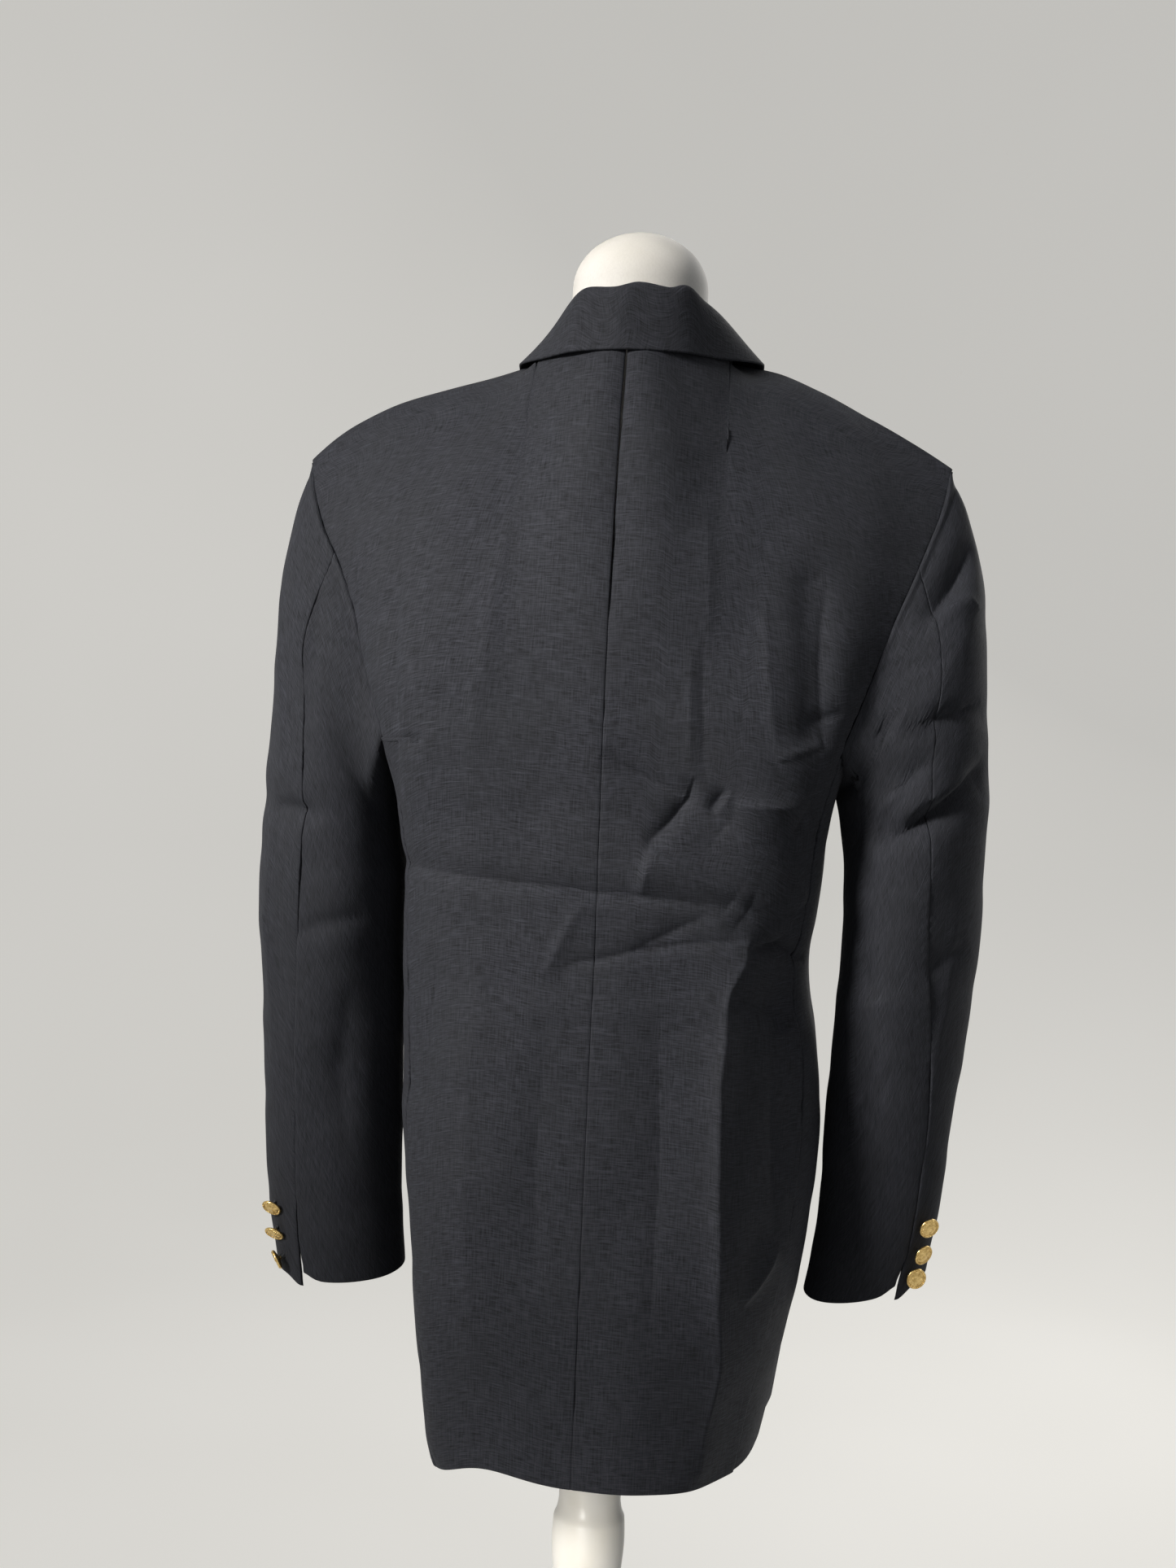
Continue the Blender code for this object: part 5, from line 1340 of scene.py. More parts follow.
def build_sleeves():
    """The top and the under sleeves, with a slit up the hind seam at each cuff."""
    for side in SIGN:
        for panel in ("top", "under"):
            surface = fine_sleeve(side, panel)
            wide = PANEL_WIDE[panel]
            across = places_between(0, wide, CLOTH_STEP, True, True) / wide
            along = places_between(0, SLEEVE_LONG, CLOTH_STEP, True, True) / SLEEVE_LONG
            name = f"sleeve_{panel}_{side}"
            outer, inner = panel_grid(name, side, surface, across, along, 1)
            if panel == "top":
                down, round_it = np.meshgrid(along, across, indexing="ij")
                ahead = math.radians(360 - FORE_SEAM)
                angle = round_it * (hind_angle(side, down) + ahead) - ahead
                outer = softened(outer, angle, down)
                inner = softened(inner, angle, down)
            rounded = (False, True, False, False)
            thing = cloth_sheet(f"{name}_cloth", side, outer, inner, rounded, len(across) // 2)
            hang(thing, name)


def feed(tree, node, values):
    """Gives a node's inputs their numbers and colours, or the sockets that feed them."""
    for name, value in values.items():
        if isinstance(value, bpy.types.NodeSocket):
            tree.links.new(value, node.inputs[name])
        else:
            node.inputs[name].default_value = value


def add_node(tree, kind, values=None, **settings):
    """Adds a node with its settings and what its inputs are fed."""
    node = tree.nodes.new(kind)
    for name, setting in settings.items():
        setattr(node, name, setting)
    feed(tree, node, values or {})
    return node


def linear(hex_colour):
    """An sRGB hex colour as linear red, green, blue and alpha."""
    parts = [int(hex_colour[place:place + 2], 16) / 255 for place in (1, 3, 5)]
    return [
        part / 12.92 if part <= 0.04045 else ((part + 0.055) / 1.055) ** 2.4 for part in parts
    ] + [1.0]


def new_material(name, roughness, metallic=0.0):
    """An empty material with its shader and output, and the shader to finish it with."""
    made = bpy.data.materials.new(name)
    made.use_nodes = True
    tree = made.node_tree
    tree.nodes.clear()
    finish = {"Roughness": roughness, "Metallic": metallic}
    shader = add_node(tree, "ShaderNodeBsdfPrincipled", finish)
    add_node(tree, "ShaderNodeOutputMaterial", {"Surface": shader.outputs["BSDF"]})
    return made, tree, shader


def stretched_noise(tree, place, scale, detail=2.0, roughness=0.5, distortion=0.0):
    """A noise stretched along an axis by its mapping's scale."""
    mapping = add_node(tree, "ShaderNodeMapping", {"Vector": place, "Scale": scale})
    noise = add_node(tree, "ShaderNodeTexNoise", {
        "Vector": mapping.outputs["Vector"], "Scale": 1.0, "Detail": detail,
        "Roughness": roughness, "Distortion": distortion,
    })
    return noise.outputs["Fac"]


def toned(tree, noise, low, high, most, first, second):
    """One colour that turns to another where a noise is high, by the most that is given."""
    share = add_node(tree, "ShaderNodeMapRange", {
        "Value": noise, "From Min": low, "From Max": high, "To Max": most,
    })
    mix = add_node(tree, "ShaderNodeMix", {
        "Factor": share.outputs["Result"], 6: first, 7: second,
    }, data_type="RGBA")
    return mix.outputs[2]


def finish_shader(tree, shader, relief, strength, distance, values):
    """Gives the shader its inputs, with the relief as a bump."""
    height = {"Strength": strength, "Distance": distance, "Height": relief}
    bump = add_node(tree, "ShaderNodeBump", height)
    feed(tree, shader, {"Normal": bump.outputs["Normal"], **values})


def linen_material():
    """Slubby charcoal linen, plain woven and piece dyed: matt, with uneven threads and a faint
    blue cast. Its threads are about 0.45 mm apart, and are drawn about 0.9 mm apart so that they
    show, with painted shade on the low threads of the weave and painted light on the raised ones."""
    settings = bpy.context.scene.blazer_cloth
    made, tree, shader = new_material("slubby plain-woven charcoal linen", 0.84)
    place = add_node(tree, "ShaderNodeUVMap", uv_map="cloth").outputs["UV"]
    thread = settings.thread_spacing
    slub = settings.slub_length
    weft = stretched_noise(tree, place, (1 / slub, 1 / thread, 1), 3.0, 0.62, 0.15)
    warp = stretched_noise(tree, place, (1 / thread, 0.7 / slub, 1), 2.0, 0.55, 0.10)
    thick = stretched_noise(tree, place, (0.45 / slub, 0.42 / thread, 1), 1.0, 0.5)
    cloud = stretched_noise(tree, place, (14.0, 11.0, 1), 3.0, 0.55)
    slubs = add_node(tree, "ShaderNodeMapRange", {
        "Value": thick, "From Min": 0.60, "From Max": 0.74,
    }).outputs["Result"]
    weft_part = add_node(tree, "ShaderNodeMath", {0: weft, 1: 0.62}, operation="MULTIPLY")
    warp_part = add_node(tree, "ShaderNodeMath", {0: warp, 1: 0.38}, operation="MULTIPLY")
    both = add_node(tree, "ShaderNodeMath", {
        0: weft_part.outputs["Value"], 1: warp_part.outputs["Value"],
    }, operation="ADD")
    weave = add_node(tree, "ShaderNodeMapRange", {
        "Value": both.outputs["Value"], "From Min": 0.34, "From Max": 0.66,
    }).outputs["Result"]
    # Painted shade and painted light in the weave: low threads take the shaded colour, raised threads
    # the lit one, following the bump's relief
    threads = add_node(tree, "ShaderNodeMix", {
        "Factor": weave, 6: linear(settings.shaded_thread_colour), 7: linear(settings.lit_thread_colour),
    }, data_type="RGBA")
    worn = linear(settings.worn_colour)
    faded = toned(tree, cloud, 0.35, 0.68, 0.40, threads.outputs[2], worn)
    slub_share = add_node(tree, "ShaderNodeMath", {0: slubs, 1: 0.22}, operation="MULTIPLY")
    colour = add_node(tree, "ShaderNodeMix", {
        "Factor": slub_share.outputs["Value"], 6: faded, 7: linear(settings.slub_colour),
    }, data_type="RGBA")
    gloss = add_node(tree, "ShaderNodeMapRange", {"Value": weave, "To Min": 0.90, "To Max": 0.76})
    slub_relief = add_node(tree, "ShaderNodeMath", {0: slubs, 1: 0.6}, operation="MULTIPLY")
    relief = add_node(tree, "ShaderNodeMath", {
        0: weave, 1: slub_relief.outputs["Value"],
    }, operation="ADD")
    finish_shader(tree, shader, relief.outputs["Value"], 0.55, 0.00030, {
        "Base Color": colour.outputs[2], "Roughness": gloss.outputs["Result"],
        "Specular IOR Level": 0.22, "Sheen Weight": 0.04, "Sheen Roughness": 0.55,
        "Sheen Tint": linear("#8d929c"),
    })
    return made


def brass_material():
    """Die-struck brass, gold plated and tumbled: bright on its relief, with duller, browner plate
    in uneven patches and fine handling scratches."""
    settings = bpy.context.scene.blazer_buttons
    made, tree, shader = new_material("gold-plated die-struck brass", 0.30, 1.0)
    place = add_node(tree, "ShaderNodeTexCoord").outputs["Object"]
    patch = stretched_noise(tree, place, (420, 420, 420), 3.0, 0.6)
    scratch = stretched_noise(tree, place, (2600, 500, 900), 2.0, 0.5, 0.6)
    colour = toned(tree, patch, 0.40, 0.70, 0.75, linear(settings.colour), linear("#94773d"))
    gloss = add_node(tree, "ShaderNodeMapRange", {
        "Value": patch, "From Min": 0.35, "From Max": 0.70, "To Min": 0.20, "To Max": 0.42,
    })
    finish_shader(tree, shader, scratch, 0.25, 0.00006, {
        "Base Color": colour, "Roughness": gloss.outputs["Result"],
    })
    return made


def thread_material():
    """Twisted black polyester sewing thread: a soft painted sheen along the ply, lighter where it
    stands up.
    """
    made, tree, shader = new_material("twisted black polyester thread", 0.55)
    place = add_node(tree, "ShaderNodeTexCoord").outputs["Object"]
    ply = stretched_noise(tree, place, (2500, 2500, 2500), 2.0, 0.5)
    # Painted sheen: the raised ply takes the lighter colour
    colour = add_node(tree, "ShaderNodeMix", {
        "Factor": ply, 6: linear("#17181a"), 7: linear("#33353a"),
    }, data_type="RGBA")
    finish_shader(tree, shader, ply, 0.5, 0.00008, {"Base Color": colour.outputs[2]})
    return made


def jersey_material():
    """White cotton jersey stretched over a padded form: matt and slightly uneven, a fine knit of
    about 1 mm wales."""
    made, tree, shader = new_material("white cotton jersey", 0.78)
    place = add_node(tree, "ShaderNodeTexCoord").outputs["Object"]
    knit = stretched_noise(tree, place, (900, 900, 520), 2.0, 0.55)
    cloud = stretched_noise(tree, place, (16, 16, 22), 3.0, 0.5)
    base = toned(tree, cloud, 0.35, 0.68, 1.0, linear("#efebe4"), linear("#e3ded4"))
    colour = toned(tree, knit, 0.3, 0.75, 0.22, base, linear("#c9c4ba"))
    finish_shader(tree, shader, knit, 0.30, 0.00025, {
        "Base Color": colour, "Sheen Weight": 0.12, "Sheen Roughness": 0.6,
    })
    return made


def paint_material():
    """White satin enamel brushed on turned beech: a soft gloss, with faint brush lines round the
    turning and slightly yellower paint in uneven patches."""
    made, tree, shader = new_material("white satin enamel on turned beech", 0.38)
    place = add_node(tree, "ShaderNodeTexCoord").outputs["Object"]
    brush = stretched_noise(tree, place, (30, 30, 1100), 2.0, 0.55)
    cloud = stretched_noise(tree, place, (24, 24, 12), 3.0, 0.5)
    colour = toned(tree, cloud, 0.35, 0.7, 1.0, linear("#eeebe3"), linear("#e2dccd"))
    gloss = add_node(tree, "ShaderNodeMapRange", {
        "Value": cloud, "From Min": 0.3, "From Max": 0.7, "To Min": 0.34, "To Max": 0.46,
    })
    finish_shader(tree, shader, brush, 0.25, 0.00015, {
        "Base Color": colour, "Roughness": gloss.outputs["Result"],
        "Coat Weight": 0.15, "Coat Roughness": 0.25,
    })
    return made


def studio_material():
    """Matt studio paper and painted wall: pale, warm and nearly even."""
    stage = bpy.context.scene.blazer_studio
    made, tree, shader = new_material("matt pale wall paint", 0.9)
    place = add_node(tree, "ShaderNodeTexCoord").outputs["Object"]
    cloud = stretched_noise(tree, place, (0.9, 0.9, 0.9), 2.0, 0.5)
    wall = linear(stage.wall_colour)
    colour = toned(tree, cloud, 0.3, 0.7, 1.0, wall, linear("#cfcdc7"))
    feed(tree, shader, {
        "Base Color": colour, "Specular IOR Level": 0.2,
        "Emission Color": wall, "Emission Strength": stage.wall_glow,
    })
    return made


MAKERS = {
    "linen": linen_material, "brass": brass_material, "thread": thread_material,
    "jersey": jersey_material, "paint": paint_material, "studio": studio_material,
}


@functools.cache
def material(name):
    """A finish by its short name, made once."""
    return MAKERS[name]()


# The button's face: its turned profile, and the generic rosette struck in it
BUTTON_TURNS = 56
FACE_RINGS = (0.0, 0.0007, 0.0014, 0.0020, 0.0026, 0.0032, 0.0038, 0.0044, 0.0050, 0.0055)
ROSETTE_PETALS = 8
ROSETTE_HIGH = 0.00038
PETAL_RING = 0.0036
PETAL_WIDE = 0.0013
INNER_RING = 0.0020
INNER_WIDE = 0.0006
BOSS_HIGH = 0.00055
BOSS_WIDE = 0.0013
CROWN = 0.0009
BEADS = 34
BEAD_RADIUS = 0.00042
BEAD_RING = 0.0066
THREAD_RADIUS = 0.00024
THREAD_TURNS = 7.0
HOLE_LONG = 0.019
WELD = 1e-6

# The button's turned side: its rolled rim, its back and its shank, as (radius, height)
BUTTON_SIDE = (
    (0.0058, 0.00005), (0.0061, 0.00012), (0.0063, 0.00045), (0.0067, 0.00062), (0.0071, 0.00058),
    (0.0075, 0.00035), (BUTTON_RADIUS, -0.0002), (0.00776, -0.0008), (0.0073, -0.0014),
    (0.0060, -0.0020), (0.0036, -0.0024), (0.0022, -BUTTON_THICK),
    (SHANK_RADIUS, -BUTTON_THICK - 0.0005), (SHANK_RADIUS * 0.92, -BUTTON_THICK - 0.0012),
    (SHANK_RADIUS * 0.80, -BUTTON_THICK - 0.0016), (SHANK_RADIUS * 0.30, -BUTTON_THICK - 0.0018),
)


def swell(radius, ring, wide):
    """How high the relief stands at a radius, as a share of its height on its ring."""
    return math.exp(-(((radius - ring) / wide) ** 2))


def face_height(radius, angle):
    """The struck face: a domed middle boss and a ring of petals round it."""
    boss = BOSS_HIGH * swell(radius, 0.0, BOSS_WIDE)
    petal = ROSETTE_HIGH * math.cos(ROSETTE_PETALS * angle) * swell(radius, PETAL_RING, PETAL_WIDE)
    between = 0.5 * ROSETTE_HIGH * math.cos(ROSETTE_PETALS * angle + math.pi)
    inner = between * swell(radius, INNER_RING, INNER_WIDE)
    return CROWN * (1 - (radius / BUTTON_RADIUS) ** 2) + boss + petal + inner


def button_points():
    """A button lying flat with its face up: the struck face, the rolled rim, the back and shank."""
    angles = [2 * math.pi * turn / BUTTON_TURNS for turn in range(BUTTON_TURNS)]
    rings = [[(radius, face_height(radius, angle)) for angle in angles] for radius in FACE_RINGS]
    rings += [[ring] * BUTTON_TURNS for ring in BUTTON_SIDE]
    vertices = []
    for ring in rings:
        for angle, (radius, height) in zip(angles, ring):
            vertices.append((radius * math.cos(angle), radius * math.sin(angle), height))
    faces = ring_faces(len(rings), BUTTON_TURNS)
    faces.append(list(range((len(rings) - 1) * BUTTON_TURNS, len(rings) * BUTTON_TURNS)))
    return np.array(vertices), faces


def ring_faces(rings, turns):
    """The faces between rings of points."""
    faces = []
    for ring in range(rings - 1):
        for turn in range(turns):
            here = ring * turns + turn
            beside = ring * turns + (turn + 1) % turns
            faces.append([here, here + turns, beside + turns, beside])
    return faces


def tree_with_inputs(name, inputs):
    """An empty geometry tree with a number input for each size it needs."""
    tree = bpy.data.node_groups.new(name, "GeometryNodeTree")
    tree.interface.new_socket("Geometry", in_out="OUTPUT", socket_type="NodeSocketGeometry")
    for label, (kind, value) in inputs.items():
        socket = tree.interface.new_socket(label, in_out="INPUT", socket_type=kind)
        socket.default_value = value
    start = add_node(tree, "NodeGroupInput")
    return tree, start


def end_of_tree(tree, geometry, finish):
    """Ends a tree by making its copies real, smooth and finished."""
    real = add_node(tree, "GeometryNodeRealizeInstances", {"Geometry": geometry})
    smoothed = add_node(tree, "GeometryNodeSetShadeSmooth", {"Geometry": real.outputs["Geometry"]})
    done = add_node(tree, "GeometryNodeSetMaterial", {
        "Geometry": smoothed.outputs["Geometry"], "Material": finish,
    })
    add_node(tree, "NodeGroupOutput", {"Geometry": done.outputs["Geometry"]})


def grown(tree, values):
    """The plain mesh that a geometry tree makes with these input values."""
    carrier = bpy.data.objects.new("carrier", bpy.data.meshes.new("carrier"))
    bpy.context.scene.collection.objects.link(carrier)
    modifier = carrier.modifiers.new("grow", "NODES")
    modifier.node_group = tree
    for item in tree.interface.items_tree:
        if item.in_out == "INPUT" and item.name in values:
            modifier[item.identifier] = values[item.name]
    bpy.context.view_layer.update()
    graph = bpy.context.evaluated_depsgraph_get()
    mesh = bpy.data.meshes.new_from_object(carrier.evaluated_get(graph))
    bpy.data.objects.remove(carrier)
    return mesh


def rim_beads():
    """A ring of round beads, as struck round a button's rim."""
    tree, start = tree_with_inputs("ring of beads", {
        "Count": ("NodeSocketInt", BEADS), "Ring radius": ("NodeSocketFloat", BEAD_RING),
        "Bead radius": ("NodeSocketFloat", BEAD_RADIUS), "Height": ("NodeSocketFloat", 0.0006),
    })
    ring = add_node(tree, "GeometryNodeMeshCircle", {
        "Vertices": start.outputs["Count"], "Radius": start.outputs["Ring radius"],
    })
    lift = add_node(tree, "ShaderNodeCombineXYZ", {"Z": start.outputs["Height"]})
    moved = add_node(tree, "GeometryNodeSetPosition", {
        "Geometry": ring.outputs["Mesh"], "Offset": lift.outputs["Vector"],
    })
    bead = add_node(tree, "GeometryNodeMeshIcoSphere", {
        "Radius": start.outputs["Bead radius"], "Subdivisions": 2,
    })
    copies = add_node(tree, "GeometryNodeInstanceOnPoints", {
        "Points": moved.outputs["Geometry"], "Instance": bead.outputs["Mesh"],
    })
    end_of_tree(tree, copies.outputs["Instances"], material("brass"))
    return grown(tree, {"Count": BEADS})


def thread_wraps():
    """Sewing thread wound round a button's shank, down to the cloth."""
    tree, start = tree_with_inputs("wound thread", {
        "Turns": ("NodeSocketFloat", THREAD_TURNS), "Radius": ("NodeSocketFloat", 0.0012),
        "Height": ("NodeSocketFloat", SHANK_LENGTH - 0.0006),
        "Thread radius": ("NodeSocketFloat", THREAD_RADIUS),
    })
    coil = add_node(tree, "GeometryNodeCurveSpiral", {
        "Resolution": 16, "Rotations": start.outputs["Turns"], "Start Radius": start.outputs["Radius"],
        "End Radius": start.outputs["Radius"], "Height": start.outputs["Height"],
    })
    section = add_node(tree, "GeometryNodeCurvePrimitiveCircle", {
        "Resolution": 7, "Radius": start.outputs["Thread radius"],
    })
    wound = add_node(tree, "GeometryNodeCurveToMesh", {
        "Curve": coil.outputs["Curve"], "Profile Curve": section.outputs["Curve"], "Fill Caps": True,
    })
    end_of_tree(tree, wound.outputs["Mesh"], material("thread"))
    return grown(tree, {"Turns": THREAD_TURNS})


def hole_stitches():
    """The close stitches round a buttonhole 20 mm long."""
    tree, start = tree_with_inputs("buttonhole stitches", {
        "Length": ("NodeSocketFloat", HOLE_LONG), "Half width": ("NodeSocketFloat", 0.0011),
        "Spacing": ("NodeSocketFloat", 0.00075), "Stitch radius": ("NodeSocketFloat", 0.00036),
    })
    half = start.outputs["Half width"]
    wide = add_node(tree, "ShaderNodeMath", {0: half, 1: 2.0}, operation="MULTIPLY")
    line = add_node(tree, "GeometryNodeCurvePrimitiveQuadrilateral", {
        "Width": start.outputs["Length"], "Height": wide.outputs["Value"],
    })
    rounding = add_node(tree, "ShaderNodeMath", {0: half, 1: 0.98}, operation="MULTIPLY")
    soft = add_node(tree, "GeometryNodeFilletCurve", {
        "Curve": line.outputs["Curve"], "Count": 6, "Radius": rounding.outputs["Value"],
    }, mode="POLY")
    points = add_node(tree, "GeometryNodeCurveToPoints", {
        "Curve": soft.outputs["Curve"], "Length": start.outputs["Spacing"],
    }, mode="LENGTH")
    stitch = add_node(tree, "GeometryNodeMeshUVSphere", {
        "Segments": 8, "Rings": 5, "Radius": start.outputs["Stitch radius"],
    })
    longer = add_node(tree, "GeometryNodeTransform", {
        "Geometry": stitch.outputs["Mesh"], "Scale": (1.0, 3.0, 1.0),
    })
    copies = add_node(tree, "GeometryNodeInstanceOnPoints", {
        "Points": points.outputs["Points"], "Instance": longer.outputs["Geometry"],
        "Rotation": points.outputs["Rotation"],
    })
    end_of_tree(tree, copies.outputs["Instances"], material("thread"))
    return grown(tree, {"Length": HOLE_LONG})


def placed(name, mesh, matrix, finish=None):
    """A mesh put in its place as an object at the origin."""
    own = mesh.copy()
    own.transform(matrix)
    if finish:
        own.materials.clear()
        own.materials.append(finish)
    thing = bpy.data.objects.new(name, own)
    bpy.context.scene.collection.objects.link(thing)
    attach(thing, "root")
    return thing


def button_place(side, piece, point, normal, nod, swing):
    """Where a button sits: its shank's end on the cloth, and how far it hangs askew."""
    mirror = np.array([SIGN[side], 1, 1])
    normal = normal * mirror
    above = point * mirror + 0.01 * normal
    point = np.array(piece.ray_cast(Vector(above), Vector(-normal))[1])
    cross = unit(np.cross(np.array([0, 0, 1.0]), normal))
    climb = np.cross(normal, cross)
    tilt = math.radians(nod)
    turn = math.radians(swing)
    face = unit(
        normal * math.cos(tilt) * math.cos(turn) + climb * math.sin(tilt) + cross * math.sin(turn)
    )
    cross = unit(np.cross(climb, face))
    climb = np.cross(face, cross)
    centre = point + normal * GAP + face * (BUTTON_THICK + SHANK_LENGTH)
    axes = Matrix([list(map(float, row)) for row in np.stack([cross, climb, face], axis=1)])
    return Matrix.Translation(list(map(float, centre))) @ axes.to_4x4()


def button_parts(name, matrix, body, beads, wraps):
    """One button in its place, with its beaded rim and the thread that holds it."""
    button = placed(f"{name}_struck", body, matrix, material("brass"))
    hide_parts(name)
    rim = placed(f"{name}_beads", beads, matrix)
    down = Matrix.Translation((0, 0, -BUTTON_THICK - SHANK_LENGTH - 0.0004))
    placed(f"{name}_thread", wraps, matrix @ down)


def build_buttons():
    """Three buttons at each cuff and two down the front, with their thread and buttonholes."""
    vertices, faces = button_points()
    shape = mesh_object("button_pattern", vertices, faces)
    body = shape.data
    bpy.data.objects.remove(shape)
    weld = bmesh.new()
    weld.from_mesh(body)
    bmesh.ops.remove_doubles(weld, verts=weld.verts, dist=WELD)
    bmesh.ops.recalc_face_normals(weld, faces=weld.faces)
    weld.to_mesh(body)
    weld.free()
    beads = rim_beads()
    wraps = thread_wraps()
    stitches = hole_stitches()
    bpy.context.view_layer.update()
    for name, side, share, degrees, nod, swing in CUFF_BUTTONS:
        angle = np.array([math.radians(degrees)])
        at = np.array([share])
        step = 1e-3
        round_it = sleeve_point(side, angle + step, at) - sleeve_point(side, angle - step, at)
        down_it = sleeve_point(side, angle, at + step) - sleeve_point(side, angle, at - step)
        normal = unit(np.cross(down_it, round_it))[0]
        piece = bpy.data.objects[f"sleeve_top_{side}_cloth"]
        matrix = button_place(side, piece, sleeve_point(side, angle, at)[0], normal, nod, swing)
        button_parts(name, matrix, body, beads, wraps)
    front = hanging_front("right")
    piece = bpy.data.objects["front_right_cloth"]
    for name, height in FRONT_BUTTONS:
        up = np.array([(height - HEM_Z) / (CHEST_Z - HEM_Z)])
        across = np.array([1 - FRONT_BUTTON_IN / FRONT_AT_BUTTONS])
        normal = surface_normals(front, across, up, 2)[0]
        matrix = button_place("right", piece, front(across, up)[0], normal, 0, 0)
        button_parts(name, matrix, body, beads, wraps)
        inward = Matrix.Translation((0.0062, 0, -BUTTON_THICK - SHANK_LENGTH + 0.0001))
        placed(f"{name}_hole", stitches, matrix @ inward)


# Form and stand

FORM_TURNS = 96
FORM_FOOT_Z = 0.700
FORM_STEP = 0.007
FORM_EDGE = 0.004
FORM_SOFT = 0.005
POST_TURNS = 72
FOOT_INNER = 0.036
FOOT_SLOPE_WIDE = 0.094
FOOT_SLOPE_DROP = 0.001
FOOT_EDGE = 0.010
FOOT_TURNS = 120
FLOOR_TURNS = 128
FLOOR_Z = -0.0002


def build_form():
    """The dress form under its jersey, with its domed neck."""
    rings = []
    heights = np.arange(FORM_FOOT_Z + FORM_SOFT, DOME_Z, FORM_STEP)
    for z in np.concatenate([[FORM_FOOT_Z], heights, [DOME_Z]]):
        half_x, back_y, front_y, square = (
            float(table_value(FORM, FORM_COLUMNS, name, z)) for name in FORM_COLUMNS[1:]
        )
        inset = FORM_EDGE * (1 - min((z - FORM_FOOT_Z) / FORM_SOFT, 1)) ** 2
        bend = 2 / square
        ring = []
        for step in range(FORM_TURNS):
            angle = 2 * math.pi * step / FORM_TURNS
            cosine = math.cos(angle)
            sine = math.sin(angle)
            depth = (back_y if sine > 0 else -front_y) - inset
            x = (half_x - inset) * math.copysign(abs(cosine) ** bend, cosine)
            ring.append((x, depth * math.copysign(abs(sine) ** bend, sine), z))
        rings.append(ring)
    dome = []
    for degrees in np.linspace(5, 88, 18):
        rise = math.radians(degrees)
        height = DOME_Z + (NECK_TOP_Z - DOME_Z) * math.sin(rise)
        dome.append((NECK_RADIUS * math.cos(rise), height))
    rings += turned_rings(dome, FORM_TURNS)
    closed_rings("form_jersey", rings, "form", "jersey")


def closed_rings(name, rings, node, finish):
    """A closed body of rings of points, standing for a node."""
    turns = len(rings[0])
    vertices = [point for ring in rings for point in ring]
    faces = ring_faces(len(rings), turns)
    faces.append(list(range(turns)))
    faces.append(list(range(len(vertices) - turns, len(vertices))))
    thing = mesh_object(name, vertices, faces)
    thing.data.set_sharp_from_angle(angle=math.radians(50))
    thing.data.materials.append(material(finish))
    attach(thing, "root")
    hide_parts(node)


def turned_rings(profile, turns):
    """Rings of points round the upright axis, one for each (radius, height)."""
    angles = [2 * math.pi * step / turns for step in range(turns)]
    return [
        [(radius * math.cos(angle), radius * math.sin(angle), height) for angle in angles]
        for radius, height in profile
    ]


def build_stand():
    """The turned post and the round foot."""
    radii, heights = np.array(POST_PROFILE)[::-1].T
    fine = np.unique(np.concatenate([np.arange(heights[0], heights[-1], 0.003), heights]))
    profile = [(float(smooth(heights, radii, np.array([z]))[0]), float(z)) for z in fine]
    closed_rings("post_turned", turned_rings(profile, POST_TURNS), "post", "paint")
    edge = [(FOOT_INNER, BASE_THICK)]
    for share in np.linspace(0.1, 1, 10):
        height = BASE_THICK - FOOT_SLOPE_DROP * share
        edge.append((FOOT_INNER + FOOT_SLOPE_WIDE * share, height))
    for degrees in range(4, 91, 8):
        turn = math.radians(degrees)
        radius = BASE_RADIUS - FOOT_EDGE + FOOT_EDGE * math.sin(turn)
        height = BASE_THICK - FOOT_SLOPE_DROP - FOOT_EDGE + FOOT_EDGE * math.cos(turn)
        edge.append((radius, height))
    edge += [(BASE_RADIUS, 0.0020), (BASE_RADIUS - 0.0006, 0.0006), (BASE_RADIUS - 0.0020, 0.0)]
    closed_rings("foot_turned", turned_rings(edge, FOOT_TURNS), "base", "paint")


# Studio: the camera of the photograph, a floor that curves up into a wall, and soft lights

LENS = 40.0
CAMERA_PLACE = (-0.1336, 1.2812, 1.10)
LOOKS_ALONG = (0.12187, -0.99255, 0.0)
ROLL = 2.416
FLOOR_RADIUS = 2.7
WALL_BEND = 0.9
WALL_HIGH = 4.6


def build_camera():
    """The photograph's camera, level in height and rolled a little."""
    data = bpy.data.cameras.new("photograph")
    data.lens = LENS
    data.clip_end = 50
    camera = bpy.data.objects.new("photograph", data)
    bpy.context.scene.collection.objects.link(camera)
    look = Vector(LOOKS_ALONG).normalized()
    level = look.cross(Vector((0, 0, 1)))
    roll = math.radians(ROLL)
    right = level * math.cos(roll) + Vector((0, 0, 1)) * math.sin(roll)
    above = Vector((0, 0, 1)) * math.cos(roll) - level * math.sin(roll)
    turn = Matrix((right, above, -look)).transposed().to_4x4()
    camera.matrix_world = Matrix.Translation(CAMERA_PLACE) @ turn
    bpy.context.scene.camera = camera


def soft_light(name, place, aim, size, power, colour, spread=180):
    """A round lamp that the camera doesn't see, turned to a point."""
    data = bpy.data.lights.new(name, "AREA")
    data.shape = "DISK"
    data.size = size
    data.energy = power
    data.color = colour
    data.spread = math.radians(spread)
    light = bpy.data.objects.new(name, data)
    light.location = place
    light.rotation_euler = (Vector(place) - Vector(aim)).to_track_quat("Z", "Y").to_euler()
    light.visible_camera = False
    bpy.context.scene.collection.objects.link(light)
    return light


def leave_out(light, thing):
    """Keeps a lamp's own light off one thing, so that the wall stays even."""
    unlit = bpy.data.collections.new("unlit by " + light.name)
    unlit.objects.link(thing)
    light.light_linking.receiver_collection = unlit
    unlit.collection_objects[0].light_linking.link_state = "EXCLUDE"


